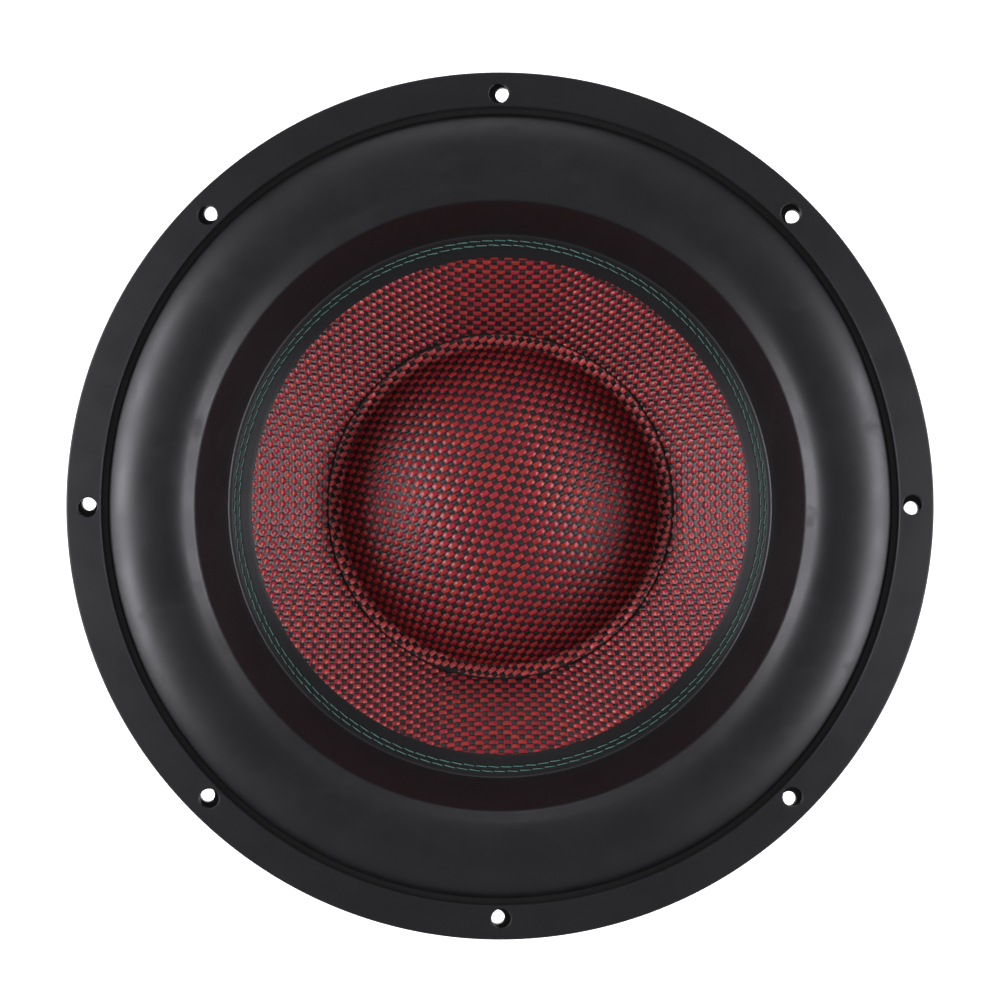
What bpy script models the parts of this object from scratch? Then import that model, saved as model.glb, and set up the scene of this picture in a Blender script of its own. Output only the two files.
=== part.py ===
"""A 12-inch car subwoofer driver: woven cone and dome, wide rubber roll, cast basket and a
triple-magnet motor with push terminals. Metres, +Z up: the driver stands on its back plate
with the cone facing +Z, and its centre line is the Z axis."""

import math

import bmesh
import bpy
from mathutils import Matrix, Vector

MM = 0.001
GAP = 0.3                    # clearance between pieces that touch on the real driver
MERGE = 1e-6                 # welds the seam of a turned shape, in metres

# Motor, from the bottom up (all sizes below are in millimetres)
YOKE_RADIUS = 92.0
YOKE_THICKNESS = 12.0
POLE_RADIUS = 37.0
POLE_TOP = 83.0
VENT_RADIUS = 15.0
SCREEN_RADIUS = 19.4
MAGNET_RADIUS = 95.0
MAGNET_BORE = 52.0
MAGNET_THICKNESS = 18.0
PLATE_BORE = 43.0
PLATE_THICKNESS = 12.0
BOOT_RADIUS = 99.0
PLATE_BOTTOM = YOKE_THICKNESS + 3 * MAGNET_THICKNESS + 4 * GAP
PLATE_TOP = PLATE_BOTTOM + PLATE_THICKNESS

# Voice coil: a 3-inch former carrying two windings
FORMER_BORE = 38.0
FORMER_WALL = 0.6
FORMER_BOTTOM = 50.0
FORMER_TOP = 139.0
WINDING_THICKNESS = 1.2
WINDING_HEIGHT = 40.0
STROKE = 18.0

# Basket
HUB_BOTTOM = PLATE_TOP + GAP
HUB_THICKNESS = 7.0
HUB_BORE = 60.0
WALL_RADIUS = 104.5
WALL_THICKNESS = 4.0
SHELF_TOP = 111.7
SHELF_BORE = 86.0
SPOKE_COUNT = 6
FLARE_BOTTOM = 126.0
FLARE_TOP = 179.0
BODY_RADIUS = 145.0          # what drops through the enclosure's cut-out
FLANGE_BOTTOM = 188.5
FLANGE_THICKNESS = 6.0
FLANGE_TOP = FLANGE_BOTTOM + FLANGE_THICKNESS
FLANGE_RADIUS = 162.6
FLANGE_BORE = 141.5
BOLT_CIRCLE_RADIUS = 155.0
BOLT_COUNT = 8
FLANGE_HOLE_RADIUS = 2.85
RING_HOLE_RADIUS = 3.65
FLANGE_HOLE_TURN = -0.4      # degrees: the two sets of holes don't line up exactly
RING_HOLE_TURN = 0.15
MOTOR_BOLT_COUNT = 6
MOTOR_BOLT_CIRCLE_RADIUS = 77.0
MOTOR_BOLT_RADIUS = 2.9
MOTOR_BOLT_HOLE_RADIUS = 3.3

# Trim ring
RING_RADIUS = 163.0
RING_BORE = 149.9
RING_TOP = 200.5
RING_LIP_RADIUS = 0.9

# Suspension
ROLL_OUTER_RADIUS = 147.5
ROLL_THICKNESS = 1.6
ROLL_CHAIN = [("arc", 29.9, 0), ("arc", 16.6, 34), ("line", 3.1, 34), ("arc", 2.0, 58),
              ("line", 21.9, 58), ("arc", -1.5, 0)]
ROLL_EDGE_TILT = -42.0
LIP_BORE = 94.6
LIP_THICKNESS = 1.5
LIP_TOP = 179.3              # at the lip's inner edge; it rises outward
LIP_SLOPE = 0.287
OUTER_LIP_RADIUS = 150.8
SPIDER_FOOT_RADIUS = 98.0
SPIDER_THICKNESS = 0.8
SPIDER_WAVES = 4
SPIDER_WAVE_HEIGHT = 2.4
SPIDER_SPACING = 11.4

# Cone and dome
CONE_TILT = math.radians(40.5)
CONE_RADIUS = 94.7
CONE_LIP_RADIUS = 104.4
CONE_THICKNESS = 1.5
CONE_LIP_TOP = LIP_TOP - LIP_THICKNESS - GAP
NECK_RADIUS = FORMER_BORE + FORMER_WALL + GAP
NECK_TOP = CONE_LIP_TOP - (CONE_RADIUS - NECK_RADIUS) * math.tan(CONE_TILT)
CAP_RADIUS = 66.2
CAP_RIM_BORE = 61.6
CAP_SPHERE_RADIUS = 82.6
CAP_THICKNESS = 1.2
CAP_RIM_RISE = 3.6           # how much the rim rises from the dome's edge to its own
STITCH_RADII = {"stitch_row_outer": 100.9, "stitch_row_inner": 99.2}
THREAD_RADIUS = 0.3

# Tinsel leads: the outer end, the point that the curve bends towards, and the inner end
LEAD_POINTS = [(106.0, 27.0, 132.0), (78.0, 16.0, 154.0), (44.0, 7.0, 130.2)]
LEAD_RADIUS = 1.1
LEAD_STEPS = 8
LEAD_SIDES = 6

# Push terminals, in the frame of one terminal: +X points away from the driver's centre line
PAD_INNER = 101.5
PAD_OUTER = 109.0
PAD_HALF_WIDTH = 24.0
PAD_HALF_HEIGHT = 10.0
TERMINAL_HEIGHT = 113.0
BASE_THICKNESS = 4.0
POST_SPREAD = 12.0
POST_RADIUS = 5.0
POST_BORE = 3.4
POST_LENGTH = 15.0
POST_FLOOR = 1.6
STEM_RADIUS = 3.1
BUTTON_RADIUS = 6.6
BUTTON_HEIGHT = 5.5
BUTTON_TRAVEL = 3.5
SPRING_LENGTH = 6.0
WIRE_HOLE_RADIUS = 1.7
SCREW_SHANK_RADIUS = 1.6


def clear_scene():
    for old in list(bpy.data.objects):
        bpy.data.objects.remove(old)


def material(name, colour, roughness, metallic):
    made = bpy.data.materials.new(name)
    made.use_nodes = True
    shader = made.node_tree.nodes["Principled BSDF"]
    shader.inputs["Base Color"].default_value = (*colour, 1.0)
    shader.inputs["Roughness"].default_value = roughness
    shader.inputs["Metallic"].default_value = metallic
    return made


def make_materials():
    return {
        "ring_satin_black": material("ring_satin_black", (0.012, 0.012, 0.014), 0.5, 0.3),
        "basket_coat": material("basket_coat", (0.014, 0.014, 0.015), 0.55, 0.3),
        "roll_rubber": material("roll_rubber", (0.012, 0.012, 0.013), 0.5, 0.0),
        "thread_green": material("thread_green", (0.03, 0.16, 0.12), 0.6, 0.0),
        "woven_red": material("woven_red", (0.30, 0.02, 0.03), 0.35, 0.0),
        "former_foil": material("former_foil", (0.75, 0.75, 0.77), 0.35, 1.0),
        "coil_copper": material("coil_copper", (0.72, 0.30, 0.13), 0.3, 1.0),
        "spider_cloth": material("spider_cloth", (0.10, 0.09, 0.08), 0.9, 0.0),
        "spacer_plastic": material("spacer_plastic", (0.02, 0.02, 0.02), 0.5, 0.0),
        "plate_steel": material("plate_steel", (0.02, 0.02, 0.022), 0.4, 0.5),
        "ferrite": material("ferrite", (0.045, 0.045, 0.05), 0.6, 0.0),
        "shorting_aluminium": material("shorting_aluminium", (0.8, 0.8, 0.82), 0.35, 1.0),
        "boot_rubber": material("boot_rubber", (0.015, 0.015, 0.015), 0.7, 0.0),
        "screen_steel": material("screen_steel", (0.03, 0.03, 0.03), 0.45, 0.6),
        "bolt_black": material("bolt_black", (0.02, 0.02, 0.02), 0.4, 0.8),
        "lead_braid": material("lead_braid", (0.80, 0.72, 0.55), 0.45, 0.9),
        "terminal_nylon": material("terminal_nylon", (0.02, 0.02, 0.02), 0.5, 0.0),
        "terminal_nickel": material("terminal_nickel", (0.75, 0.72, 0.66), 0.25, 1.0),
        "button_red": material("button_red", (0.55, 0.02, 0.02), 0.35, 0.0),
        "button_black": material("button_black", (0.015, 0.015, 0.015), 0.35, 0.0),
        "spring_steel": material("spring_steel", (0.6, 0.6, 0.62), 0.3, 1.0),
    }


def add_object(name, mesh, surface=None):
    made = bpy.data.objects.new(name, mesh)
    bpy.context.scene.collection.objects.link(made)
    if surface is not None:
        made.data.materials.clear()
        made.data.materials.append(surface)
    return made


def finish_mesh(name, shape):
    """Turns a bmesh into a mesh with outward faces, shaded smooth apart from its edges."""
    bmesh.ops.recalc_face_normals(shape, faces=shape.faces)
    mesh = bpy.data.meshes.new(name)
    shape.to_mesh(mesh)
    shape.free()
    mesh.shade_smooth()
    mesh.set_sharp_from_angle(angle=math.radians(35))
    return mesh


def turned_mesh(name, outline, segments):
    """Spins a closed outline of (radius, height) points once round the Z axis."""
    shape = bmesh.new()
    corners = [shape.verts.new((r * MM, 0, z * MM)) for r, z in outline]
    sides = [shape.edges.new(pair) for pair in zip(corners, corners[1:] + corners[:1])]
    bmesh.ops.spin(shape, geom=corners + sides, axis=(0, 0, 1), cent=(0, 0, 0),
                   angle=math.tau, steps=segments)
    bmesh.ops.remove_doubles(shape, verts=shape.verts, dist=MERGE)
    return finish_mesh(name, shape)


def turned(name, outline, surface, segments=48):
    return add_object(name, turned_mesh(name, outline, segments), surface)


def ring_outline(inner, outer, bottom, top, chamfer=0.0):
    """A rectangle in section, with its two outer corners cut back by the chamfer."""
    if chamfer == 0:
        return [(inner, bottom), (outer, bottom), (outer, top), (inner, top)]
    return [(inner, bottom), (outer - chamfer, bottom), (outer, bottom + chamfer),
            (outer, top - chamfer), (outer - chamfer, top), (inner, top)]


def arc(centre, radius, start, end, steps):
    """Points on a circle from one angle to another, in degrees."""
    angles = [math.radians(start + (end - start) * i / steps) for i in range(steps + 1)]
    return [(centre[0] + radius * math.cos(a), centre[1] + radius * math.sin(a)) for a in angles]


def add_cylinder(shape, radius, start, end, segments=16):
    """Adds a solid rod between two points, in millimetres, to a bmesh."""
    along = Vector(end) - Vector(start)
    turn = along.to_track_quat("Z", "Y").to_matrix().to_4x4()
    middle = (Vector(start) + Vector(end)) / 2 * MM
    bmesh.ops.create_cone(shape, cap_ends=True, segments=segments, radius1=radius * MM,
                          radius2=radius * MM, depth=along.length * MM,
                          matrix=Matrix.Translation(middle) @ turn)


def add_prism(shape, outline, along, turn):
    """Adds an outline of (across, up) points, drawn out over a span of X and turned about Z."""
    rotation = Matrix.Rotation(turn, 4, "Z")
    loops = []
    for x in along:
        loops.append([shape.verts.new(rotation @ Vector((x, y, z)) * MM) for y, z in outline])
    count = len(outline)
    for i in range(count):
        j = (i + 1) % count
        shape.faces.new((loops[0][i], loops[0][j], loops[1][j], loops[1][i]))
    shape.faces.new(loops[0][::-1])
    shape.faces.new(loops[1])


def add_box(shape, low, high):
    centre = (Vector(low) + Vector(high)) / 2 * MM
    size = (Vector(high) - Vector(low)) * MM
    bmesh.ops.create_cube(shape, size=1.0,
                          matrix=Matrix.Translation(centre) @ Matrix.Diagonal((*size, 1.0)))


def rounded_polygon(corners, radius, steps=3):
    """A polygon with each corner turned into an arc."""
    points = []
    for i, corner in enumerate(corners):
        here = Vector(corner)
        before = (Vector(corners[i - 1]) - here).normalized()
        after = (Vector(corners[(i + 1) % len(corners)]) - here).normalized()
        half = before.angle(after) / 2
        centre = here + (before + after).normalized() * radius / math.sin(half)
        start = here + before * radius / math.tan(half) - centre
        end = here + after * radius / math.tan(half) - centre
        sweep = start.angle(end)
        for step in range(steps + 1):
            share = step / steps
            blend = (start * math.sin((1 - share) * sweep) + end * math.sin(share * sweep))
            points.append(tuple(centre + blend / math.sin(sweep)))
    return points


def on_circle(radius, degrees, height):
    angle = math.radians(degrees)
    return (radius * math.cos(angle), radius * math.sin(angle), height)


def boolean(body, tool_shape, operation):
    """Adds a Boolean of the tool's shape to the body and keeps the tool as a hidden guide."""
    tool = add_object(body.name + "_" + operation.lower(), finish_mesh("tool", tool_shape))
    tool.hide_render = True
    tool.display_type = "WIRE"
    step = body.modifiers.new(operation.lower(), "BOOLEAN")
    step.operation = operation
    step.solver = "EXACT"
    step.object = tool
    return tool


def applied_mesh(body, *tools):
    """The mesh of a body after its modifiers. The body and its tools are then removed."""
    bpy.context.view_layer.update()
    graph = bpy.context.evaluated_depsgraph_get()
    mesh = bpy.data.meshes.new_from_object(body.evaluated_get(graph))
    for used in (body, *tools):
        bpy.data.objects.remove(used)
    return mesh


# ---------------------------------------------------------------- motor

def build_yoke(surfaces):
    """The back plate and pole in one steel piece, with a vent right through the pole."""
    counterbore = SCREEN_RADIUS + 0.4
    outline = [(counterbore, 0), (YOKE_RADIUS - 2, 0), (YOKE_RADIUS, 2),
               (YOKE_RADIUS, YOKE_THICKNESS - 1), (YOKE_RADIUS - 1, YOKE_THICKNESS),
               (POLE_RADIUS, YOKE_THICKNESS), (POLE_RADIUS, POLE_TOP - 2),
               (POLE_RADIUS - 2, POLE_TOP), (VENT_RADIUS + 3, POLE_TOP),
               (VENT_RADIUS, POLE_TOP - 3), (VENT_RADIUS, 3), (counterbore, 3)]
    turned("motor_yoke", outline, surfaces["plate_steel"], 36)


def build_vent_screen(surfaces):
    """A perforated disc that keeps grit out of the pole vent."""
    outline = [(0, 1.0), (SCREEN_RADIUS, 1.0), (SCREEN_RADIUS, 2.4), (0, 2.4)]
    disc = turned("pole_vent_screen", outline, surfaces["screen_steel"], 32)
    holes = bmesh.new()
    hole_radius = 4.4
    for radius, turn in [(0, 0)] + [(11.4, 60 * i) for i in range(6)]:
        add_cylinder(holes, hole_radius, on_circle(radius, turn, 0), on_circle(radius, turn, 4), 8)
    boolean(disc, holes, "DIFFERENCE")


def build_magnets(surfaces):
    bottom = YOKE_THICKNESS + GAP
    for name in ("magnet_lower", "magnet_middle", "magnet_upper"):
        outline = ring_outline(MAGNET_BORE, MAGNET_RADIUS, bottom, bottom + MAGNET_THICKNESS)
        turned(name, outline, surfaces["ferrite"], 36)
        bottom += MAGNET_THICKNESS + GAP


def build_top_plate(surfaces):
    outline = ring_outline(PLATE_BORE, YOKE_RADIUS, PLATE_BOTTOM, PLATE_TOP)
    plate = turned("top_plate", outline, surfaces["plate_steel"], 36)
    holes = bmesh.new()
    for i in range(MOTOR_BOLT_COUNT):
        turn = 360 * i / MOTOR_BOLT_COUNT
        ends = [on_circle(MOTOR_BOLT_CIRCLE_RADIUS, turn, PLATE_TOP + z) for z in (-10, 1)]
        add_cylinder(holes, MOTOR_BOLT_HOLE_RADIUS, *ends, 10)
    boolean(plate, holes, "DIFFERENCE")


def build_shorting_ring(surfaces):
    outline = ring_outline(POLE_RADIUS + GAP, 44.0, YOKE_THICKNESS + GAP, 30.0)
    turned("shorting_ring", outline, surfaces["shorting_aluminium"], 32)


def build_boot(surfaces):
    """The rubber sleeve round the magnets, with a lip that grips each plate's edge."""
    inner = MAGNET_RADIUS + GAP
    grip = YOKE_RADIUS + GAP
    low = 9.0
    high = PLATE_BOTTOM + 3.0
    outline = [(grip, low), (BOOT_RADIUS - 1.5, low), (BOOT_RADIUS, low + 1.5),
               (BOOT_RADIUS, high - 1.5), (BOOT_RADIUS - 1.5, high), (grip, high),
               (grip, PLATE_BOTTOM), (inner, PLATE_BOTTOM),
               (inner, YOKE_THICKNESS), (grip, YOKE_THICKNESS)]
    turned("magnet_boot", outline, surfaces["boot_rubber"], 36)


def build_motor_bolts(surfaces):
    """Socket-head screws that hold the basket's hub down on the top plate."""
    seat = HUB_BOTTOM + HUB_THICKNESS + GAP
    socket = 2.6
    outline = [(0, seat + 2.4), (socket, seat + 2.4), (socket, seat + 5.4), (5.0, seat + 5.4),
               (5.0, seat), (MOTOR_BOLT_RADIUS, seat), (MOTOR_BOLT_RADIUS, PLATE_TOP - 9),
               (0, PLATE_TOP - 9)]
    mesh = turned_mesh("motor_bolt", outline, 10)
    for i in range(MOTOR_BOLT_COUNT):
        bolt = add_object(f"motor_bolt_{i + 1}", mesh, surfaces["bolt_black"])
        bolt.location = Vector(on_circle(MOTOR_BOLT_CIRCLE_RADIUS, 360 * i / MOTOR_BOLT_COUNT, 0)) * MM


# ---------------------------------------------------------------- basket and ring

def basket_outline():
    """Section of the casting: hub, wall with the spider shelf, flared body and flange."""
    hub_top = HUB_BOTTOM + HUB_THICKNESS
    wall_low = 98.0
    shelf_bottom = SHELF_TOP - 4.5
    inside = WALL_RADIUS - WALL_THICKNESS
    body_inside = FLANGE_BORE
    return [(HUB_BORE, HUB_BOTTOM), (YOKE_RADIUS - 1, HUB_BOTTOM), (YOKE_RADIUS + 1, HUB_BOTTOM + 2),
            (WALL_RADIUS - 1, wall_low - 2), (WALL_RADIUS, wall_low), (WALL_RADIUS, FLARE_BOTTOM),
            (BODY_RADIUS - 2, FLARE_TOP), (BODY_RADIUS, FLARE_TOP + 3), (BODY_RADIUS, FLANGE_BOTTOM),
            (FLANGE_RADIUS, FLANGE_BOTTOM), (FLANGE_RADIUS, FLANGE_TOP), (body_inside, FLANGE_TOP),
            (body_inside, FLARE_TOP + 3), (body_inside - 3, FLARE_TOP),
            (inside, FLARE_BOTTOM + 1), (inside, SHELF_TOP), (SHELF_BORE, SHELF_TOP),
            (SHELF_BORE, shelf_bottom), (inside - 1, shelf_bottom), (inside - 1, wall_low + 2),
            (YOKE_RADIUS - 4, hub_top), (HUB_BORE, hub_top)]


def basket_additions():
    """Ribs down the spokes, and a flat pad for each terminal."""
    shape = bmesh.new()
    half = 4.0
    for i in range(SPOKE_COUNT):
        turn = Matrix.Rotation(math.tau * i / SPOKE_COUNT, 4, "Z")
        section = [(WALL_RADIUS - 2, FLARE_BOTTOM - 1.5), (WALL_RADIUS + 4.5, FLARE_BOTTOM - 1.5),
                   (BODY_RADIUS - 0.5, FLARE_TOP - 8), (BODY_RADIUS - 0.5, FLANGE_BOTTOM + 1),
                   (BODY_RADIUS - 3, FLANGE_BOTTOM + 1), (BODY_RADIUS - 3, FLARE_TOP + 1)]
        sides = []
        for y in (-half, half):
            sides.append([shape.verts.new(turn @ Vector((r, y, z)) * MM) for r, z in section])
        for a in range(len(section)):
            b = (a + 1) % len(section)
            shape.faces.new((sides[0][a], sides[0][b], sides[1][b], sides[1][a]))
        shape.faces.new(sides[0][::-1])
        shape.faces.new(sides[1])
    for side in (-1, 1):
        low = min(side * PAD_INNER, side * PAD_OUTER)
        high = max(side * PAD_INNER, side * PAD_OUTER)
        add_box(shape, (low, -PAD_HALF_WIDTH, TERMINAL_HEIGHT - PAD_HALF_HEIGHT),
                (high, PAD_HALF_WIDTH, TERMINAL_HEIGHT + PAD_HALF_HEIGHT))
    return shape


def basket_openings():
    """Windows between the spokes, vents below the spider shelf, and every screw hole."""
    shape = bmesh.new()
    low = FLARE_BOTTOM + 3.5
    high = FLARE_TOP - 2.0
    window = rounded_polygon([(-41, low), (41, low), (59, high), (-59, high)], 7.0, 2)
    vent = rounded_polygon([(-19, 91), (19, 91), (21, 102.5), (-21, 102.5)], 3.5, 2)
    for i in range(SPOKE_COUNT):
        middle = math.tau * (i + 0.5) / SPOKE_COUNT
        add_prism(shape, window, (60, 160), middle)
        add_prism(shape, vent, (70, 120), middle)
    for i in range(BOLT_COUNT):
        turn = 360 * i / BOLT_COUNT + FLANGE_HOLE_TURN
        add_cylinder(shape, FLANGE_HOLE_RADIUS, on_circle(BOLT_CIRCLE_RADIUS, turn, FLANGE_BOTTOM - 2),
                     on_circle(BOLT_CIRCLE_RADIUS, turn, FLANGE_TOP + 2), 12)
    for i in range(MOTOR_BOLT_COUNT):
        turn = 360 * i / MOTOR_BOLT_COUNT
        heights = (HUB_BOTTOM - 1, HUB_BOTTOM + HUB_THICKNESS + 1)
        ends = [on_circle(MOTOR_BOLT_CIRCLE_RADIUS, turn, z) for z in heights]
        add_cylinder(shape, MOTOR_BOLT_HOLE_RADIUS, *ends, 10)
    for side in (-1, 1):
        add_cylinder(shape, SCREW_SHANK_RADIUS + GAP, (side * (PAD_INNER + 1), 0, TERMINAL_HEIGHT),
                     (side * (PAD_OUTER + 1), 0, TERMINAL_HEIGHT), 12)
    return shape


def build_basket(surfaces):
    basket = turned("basket", basket_outline(), surfaces["basket_coat"], 48)
    boolean(basket, basket_additions(), "UNION")
    boolean(basket, basket_openings(), "DIFFERENCE")


def build_trim_ring(surfaces):
    """The front ring that clamps the roll's outer lip, with a rounded inner edge."""
    lip_centre = (RING_BORE + RING_LIP_RADIUS, RING_TOP - RING_LIP_RADIUS)
    recess = OUTER_LIP_RADIUS + GAP
    outline = [(recess, FLANGE_TOP + GAP), (RING_RADIUS, FLANGE_TOP + GAP),
               (RING_RADIUS, RING_TOP - 0.8), (RING_RADIUS - 0.8, RING_TOP)]
    outline += arc(lip_centre, RING_LIP_RADIUS, 90, 180, 2)
    outline += [(RING_BORE, FLANGE_TOP + 2.1), (recess, FLANGE_TOP + 2.1)]
    ring = turned("trim_ring", outline, surfaces["ring_satin_black"], 64)
    holes = bmesh.new()
    for i in range(BOLT_COUNT):
        turn = 360 * i / BOLT_COUNT + RING_HOLE_TURN
        add_cylinder(holes, RING_HOLE_RADIUS, on_circle(BOLT_CIRCLE_RADIUS, turn, FLANGE_TOP - 1),
                     on_circle(BOLT_CIRCLE_RADIUS, turn, RING_TOP + 1), 12)
    boolean(ring, holes, "DIFFERENCE")


# ---------------------------------------------------------------- suspension

def roll_path():
    """The roll's upper face as (radius, height, tilt), from its outer edge to the foot of its
    inner wall. It is a chain of arcs and straights, each starting where the last one ended.
    Tilt is how far the face falls towards the centre, in degrees."""
    radius = ROLL_OUTER_RADIUS
    height = 0.0
    tilt = ROLL_EDGE_TILT
    path = [(radius, height, tilt)]
    for kind, size, end_tilt in ROLL_CHAIN:
        count = 2 if abs(end_tilt - tilt) > 30 else 1
        start_tilt = tilt
        for i in range(1, count + 1):
            before = math.radians(tilt)
            tilt = start_tilt + (end_tilt - start_tilt) * i / count
            after = math.radians(tilt)
            if kind == "line":
                radius -= size / count * math.cos(after)
                height -= size / count * math.sin(after)
            else:
                radius -= size * (math.sin(after) - math.sin(before))
                height -= size * (math.cos(before) - math.cos(after))
            path.append((radius, height, tilt))
    return path


def build_surround(surfaces):
    """The wide rubber roll, with an outer lip under the trim ring and an inner lip on the cone."""
    path = roll_path()
    foot_radius, foot_height, _ = path[-1]
    lift = LIP_TOP + LIP_SLOPE * (foot_radius - LIP_BORE) - foot_height
    outer_lip_bottom = FLANGE_TOP + GAP
    outer_lip_top = outer_lip_bottom + LIP_THICKNESS
    upper = [(r, z + lift) for r, z, _ in path]
    lower = []
    for r, z, tilt in path[1:-1]:
        lean = math.radians(tilt)
        lower.append((r + ROLL_THICKNESS * math.sin(lean), z + lift - ROLL_THICKNESS * math.cos(lean)))
    lower.append((foot_radius + 0.6, LIP_TOP - LIP_THICKNESS))
    outline = [(ROLL_OUTER_RADIUS - 1.2, outer_lip_bottom), (OUTER_LIP_RADIUS, outer_lip_bottom),
               (OUTER_LIP_RADIUS, outer_lip_top), (ROLL_OUTER_RADIUS + 0.1, outer_lip_top)]
    outline += upper + [(LIP_BORE, LIP_TOP), (LIP_BORE, LIP_TOP - LIP_THICKNESS)] + lower[::-1]
    turned("surround", outline, surfaces["roll_rubber"], 36)


def build_stitches(surfaces):
    """Each row of thread is one ring here, lying just above the roll's inner lip."""
    for name, radius in STITCH_RADII.items():
        height = LIP_TOP + LIP_SLOPE * (radius - LIP_BORE) + GAP + THREAD_RADIUS
        turned(name, arc((radius, height), THREAD_RADIUS, 30, 270, 2), surfaces["thread_green"], 40)


def spider_outline(bottom):
    """Flat feet at both ends, with waves between them."""
    inner = NECK_RADIUS
    wave_start = inner + 5
    wave_end = SHELF_BORE - 2
    count = SPIDER_WAVES * 2
    upper = [(inner, bottom + SPIDER_THICKNESS)]
    for i in range(count):
        radius = wave_start + (wave_end - wave_start) * (i + 0.5) / count
        upper.append((radius, bottom + SPIDER_THICKNESS + SPIDER_WAVE_HEIGHT * (-1) ** i))
    upper += [(wave_end + 1, bottom + SPIDER_THICKNESS), (SPIDER_FOOT_RADIUS, bottom + SPIDER_THICKNESS)]
    return upper + [(r, z - SPIDER_THICKNESS) for r, z in reversed(upper)]


def build_spiders(surfaces):
    lower = SHELF_TOP + GAP
    upper = lower + SPIDER_SPACING
    turned("spider_lower", spider_outline(lower), surfaces["spider_cloth"], 24)
    turned("spider_upper", spider_outline(upper), surfaces["spider_cloth"], 24)
    spacer = ring_outline(88.5, SPIDER_FOOT_RADIUS, lower + SPIDER_THICKNESS + GAP, upper - GAP)
    turned("spider_spacer", spacer, surfaces["spacer_plastic"], 32)


# ---------------------------------------------------------------- moving parts on the stroke axis

def build_coil(surfaces):
    outer = FORMER_BORE + FORMER_WALL
    turned("voice_coil_former", ring_outline(FORMER_BORE, outer, FORMER_BOTTOM, FORMER_TOP),
           surfaces["former_foil"], 36)
    gap_middle = (PLATE_BOTTOM + PLATE_TOP) / 2
    low = gap_middle - WINDING_HEIGHT / 2
    for name in ("coil_winding_inner", "coil_winding_outer"):
        inner = outer + GAP
        outer = inner + WINDING_THICKNESS
        turned(name, ring_outline(inner, outer, low, low + WINDING_HEIGHT),
               surfaces["coil_copper"], 36)


def build_cone(surfaces):
    """A straight-sided woven cone whose rim turns out flat to carry the roll's inner lip."""
    thickness = CONE_THICKNESS / math.cos(CONE_TILT)
    outline = [(NECK_RADIUS, NECK_TOP), (CONE_RADIUS, CONE_LIP_TOP), (CONE_LIP_RADIUS, CONE_LIP_TOP),
               (CONE_LIP_RADIUS, CONE_LIP_TOP - CONE_THICKNESS),
               (CONE_RADIUS + 0.8, CONE_LIP_TOP - CONE_THICKNESS),
               (NECK_RADIUS, NECK_TOP - thickness)]
    turned("cone", outline, surfaces["woven_red"], 48)


def build_dust_cap(surfaces):
    """A spherical dome with a narrow, slightly dished rim that is glued down on the cone."""
    cone_height = NECK_TOP + (CAP_RADIUS - NECK_RADIUS) * math.tan(CONE_TILT)
    rim_bottom = cone_height + GAP - CAP_RIM_RISE
    rim_top = rim_bottom + CAP_THICKNESS
    edge_angle = math.degrees(math.acos(CAP_RIM_BORE / CAP_SPHERE_RADIUS))
    centre = (0, rim_top - CAP_SPHERE_RADIUS * math.sin(math.radians(edge_angle)))
    outer = arc(centre, CAP_SPHERE_RADIUS, 90, edge_angle, 4)
    inner = arc(centre, CAP_SPHERE_RADIUS - CAP_THICKNESS, edge_angle, 90, 4)
    outline = outer + [(CAP_RADIUS, rim_top + CAP_RIM_RISE), (CAP_RADIUS, rim_bottom + CAP_RIM_RISE),
                       (CAP_RIM_BORE - 0.6, rim_bottom)]
    outline += inner[1:-1] + [(0, centre[1] + CAP_SPHERE_RADIUS - CAP_THICKNESS)]
    outline[0] = (0, centre[1] + CAP_SPHERE_RADIUS)
    turned("dust_cap", outline, surfaces["woven_red"], 36)


# ---------------------------------------------------------------- leads and terminals

def tube_mesh(name, path, radius, sides):
    """A capped tube along a list of points."""
    points = [Vector(p) for p in path]
    shape = bmesh.new()
    loops = []
    for i, point in enumerate(points):
        along = points[min(i + 1, len(points) - 1)] - points[max(i - 1, 0)]
        frame = along.to_track_quat("Z", "Y")
        loop = []
        for side in range(sides):
            angle = math.tau * side / sides
            offset = frame @ Vector((math.cos(angle), math.sin(angle), 0)) * radius
            loop.append(shape.verts.new((point + offset) * MM))
        loops.append(loop)
    for first, second in zip(loops, loops[1:]):
        for side in range(sides):
            other = (side + 1) % sides
            shape.faces.new((first[side], first[other], second[other], second[side]))
    shape.faces.new(loops[0][::-1])
    shape.faces.new(loops[-1])
    return finish_mesh(name, shape)


def curve_points(start, bend, end, steps):
    """Points on the quadratic curve from start to end that bends towards a third point."""
    points = []
    for i in range(steps + 1):
        t = i / steps
        points.append([(1 - t) ** 2 * a + 2 * t * (1 - t) * b + t ** 2 * c
                       for a, b, c in zip(start, bend, end)])
    return points


def build_leads(surfaces):
    """Flexible leads from the terminals, through the basket windows, to the cone's neck."""
    number = 1
    for side in (-1, 1):
        for hand in (-1, 1):
            start, bend, end = [(side * x, hand * y, z) for x, y, z in LEAD_POINTS]
            mesh = tube_mesh("lead", curve_points(start, bend, end, LEAD_STEPS), LEAD_RADIUS, LEAD_SIDES)
            add_object(f"tinsel_lead_{number}", mesh, surfaces["lead_braid"])
            number += 1


def post_mesh():
    """A blind metal sleeve with a wire hole across it, opening towards +Z."""
    outline = [(0, 0), (POST_RADIUS, 0), (POST_RADIUS, POST_LENGTH), (POST_BORE, POST_LENGTH),
               (POST_BORE, POST_FLOOR), (0, POST_FLOOR)]
    post = add_object("post", turned_mesh("post", outline, 12))
    hole = bmesh.new()
    add_cylinder(hole, WIRE_HOLE_RADIUS, (-8, 0, POST_LENGTH - 4.5), (8, 0, POST_LENGTH - 4.5), 8)
    return applied_mesh(post, boolean(post, hole, "DIFFERENCE"))


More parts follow.
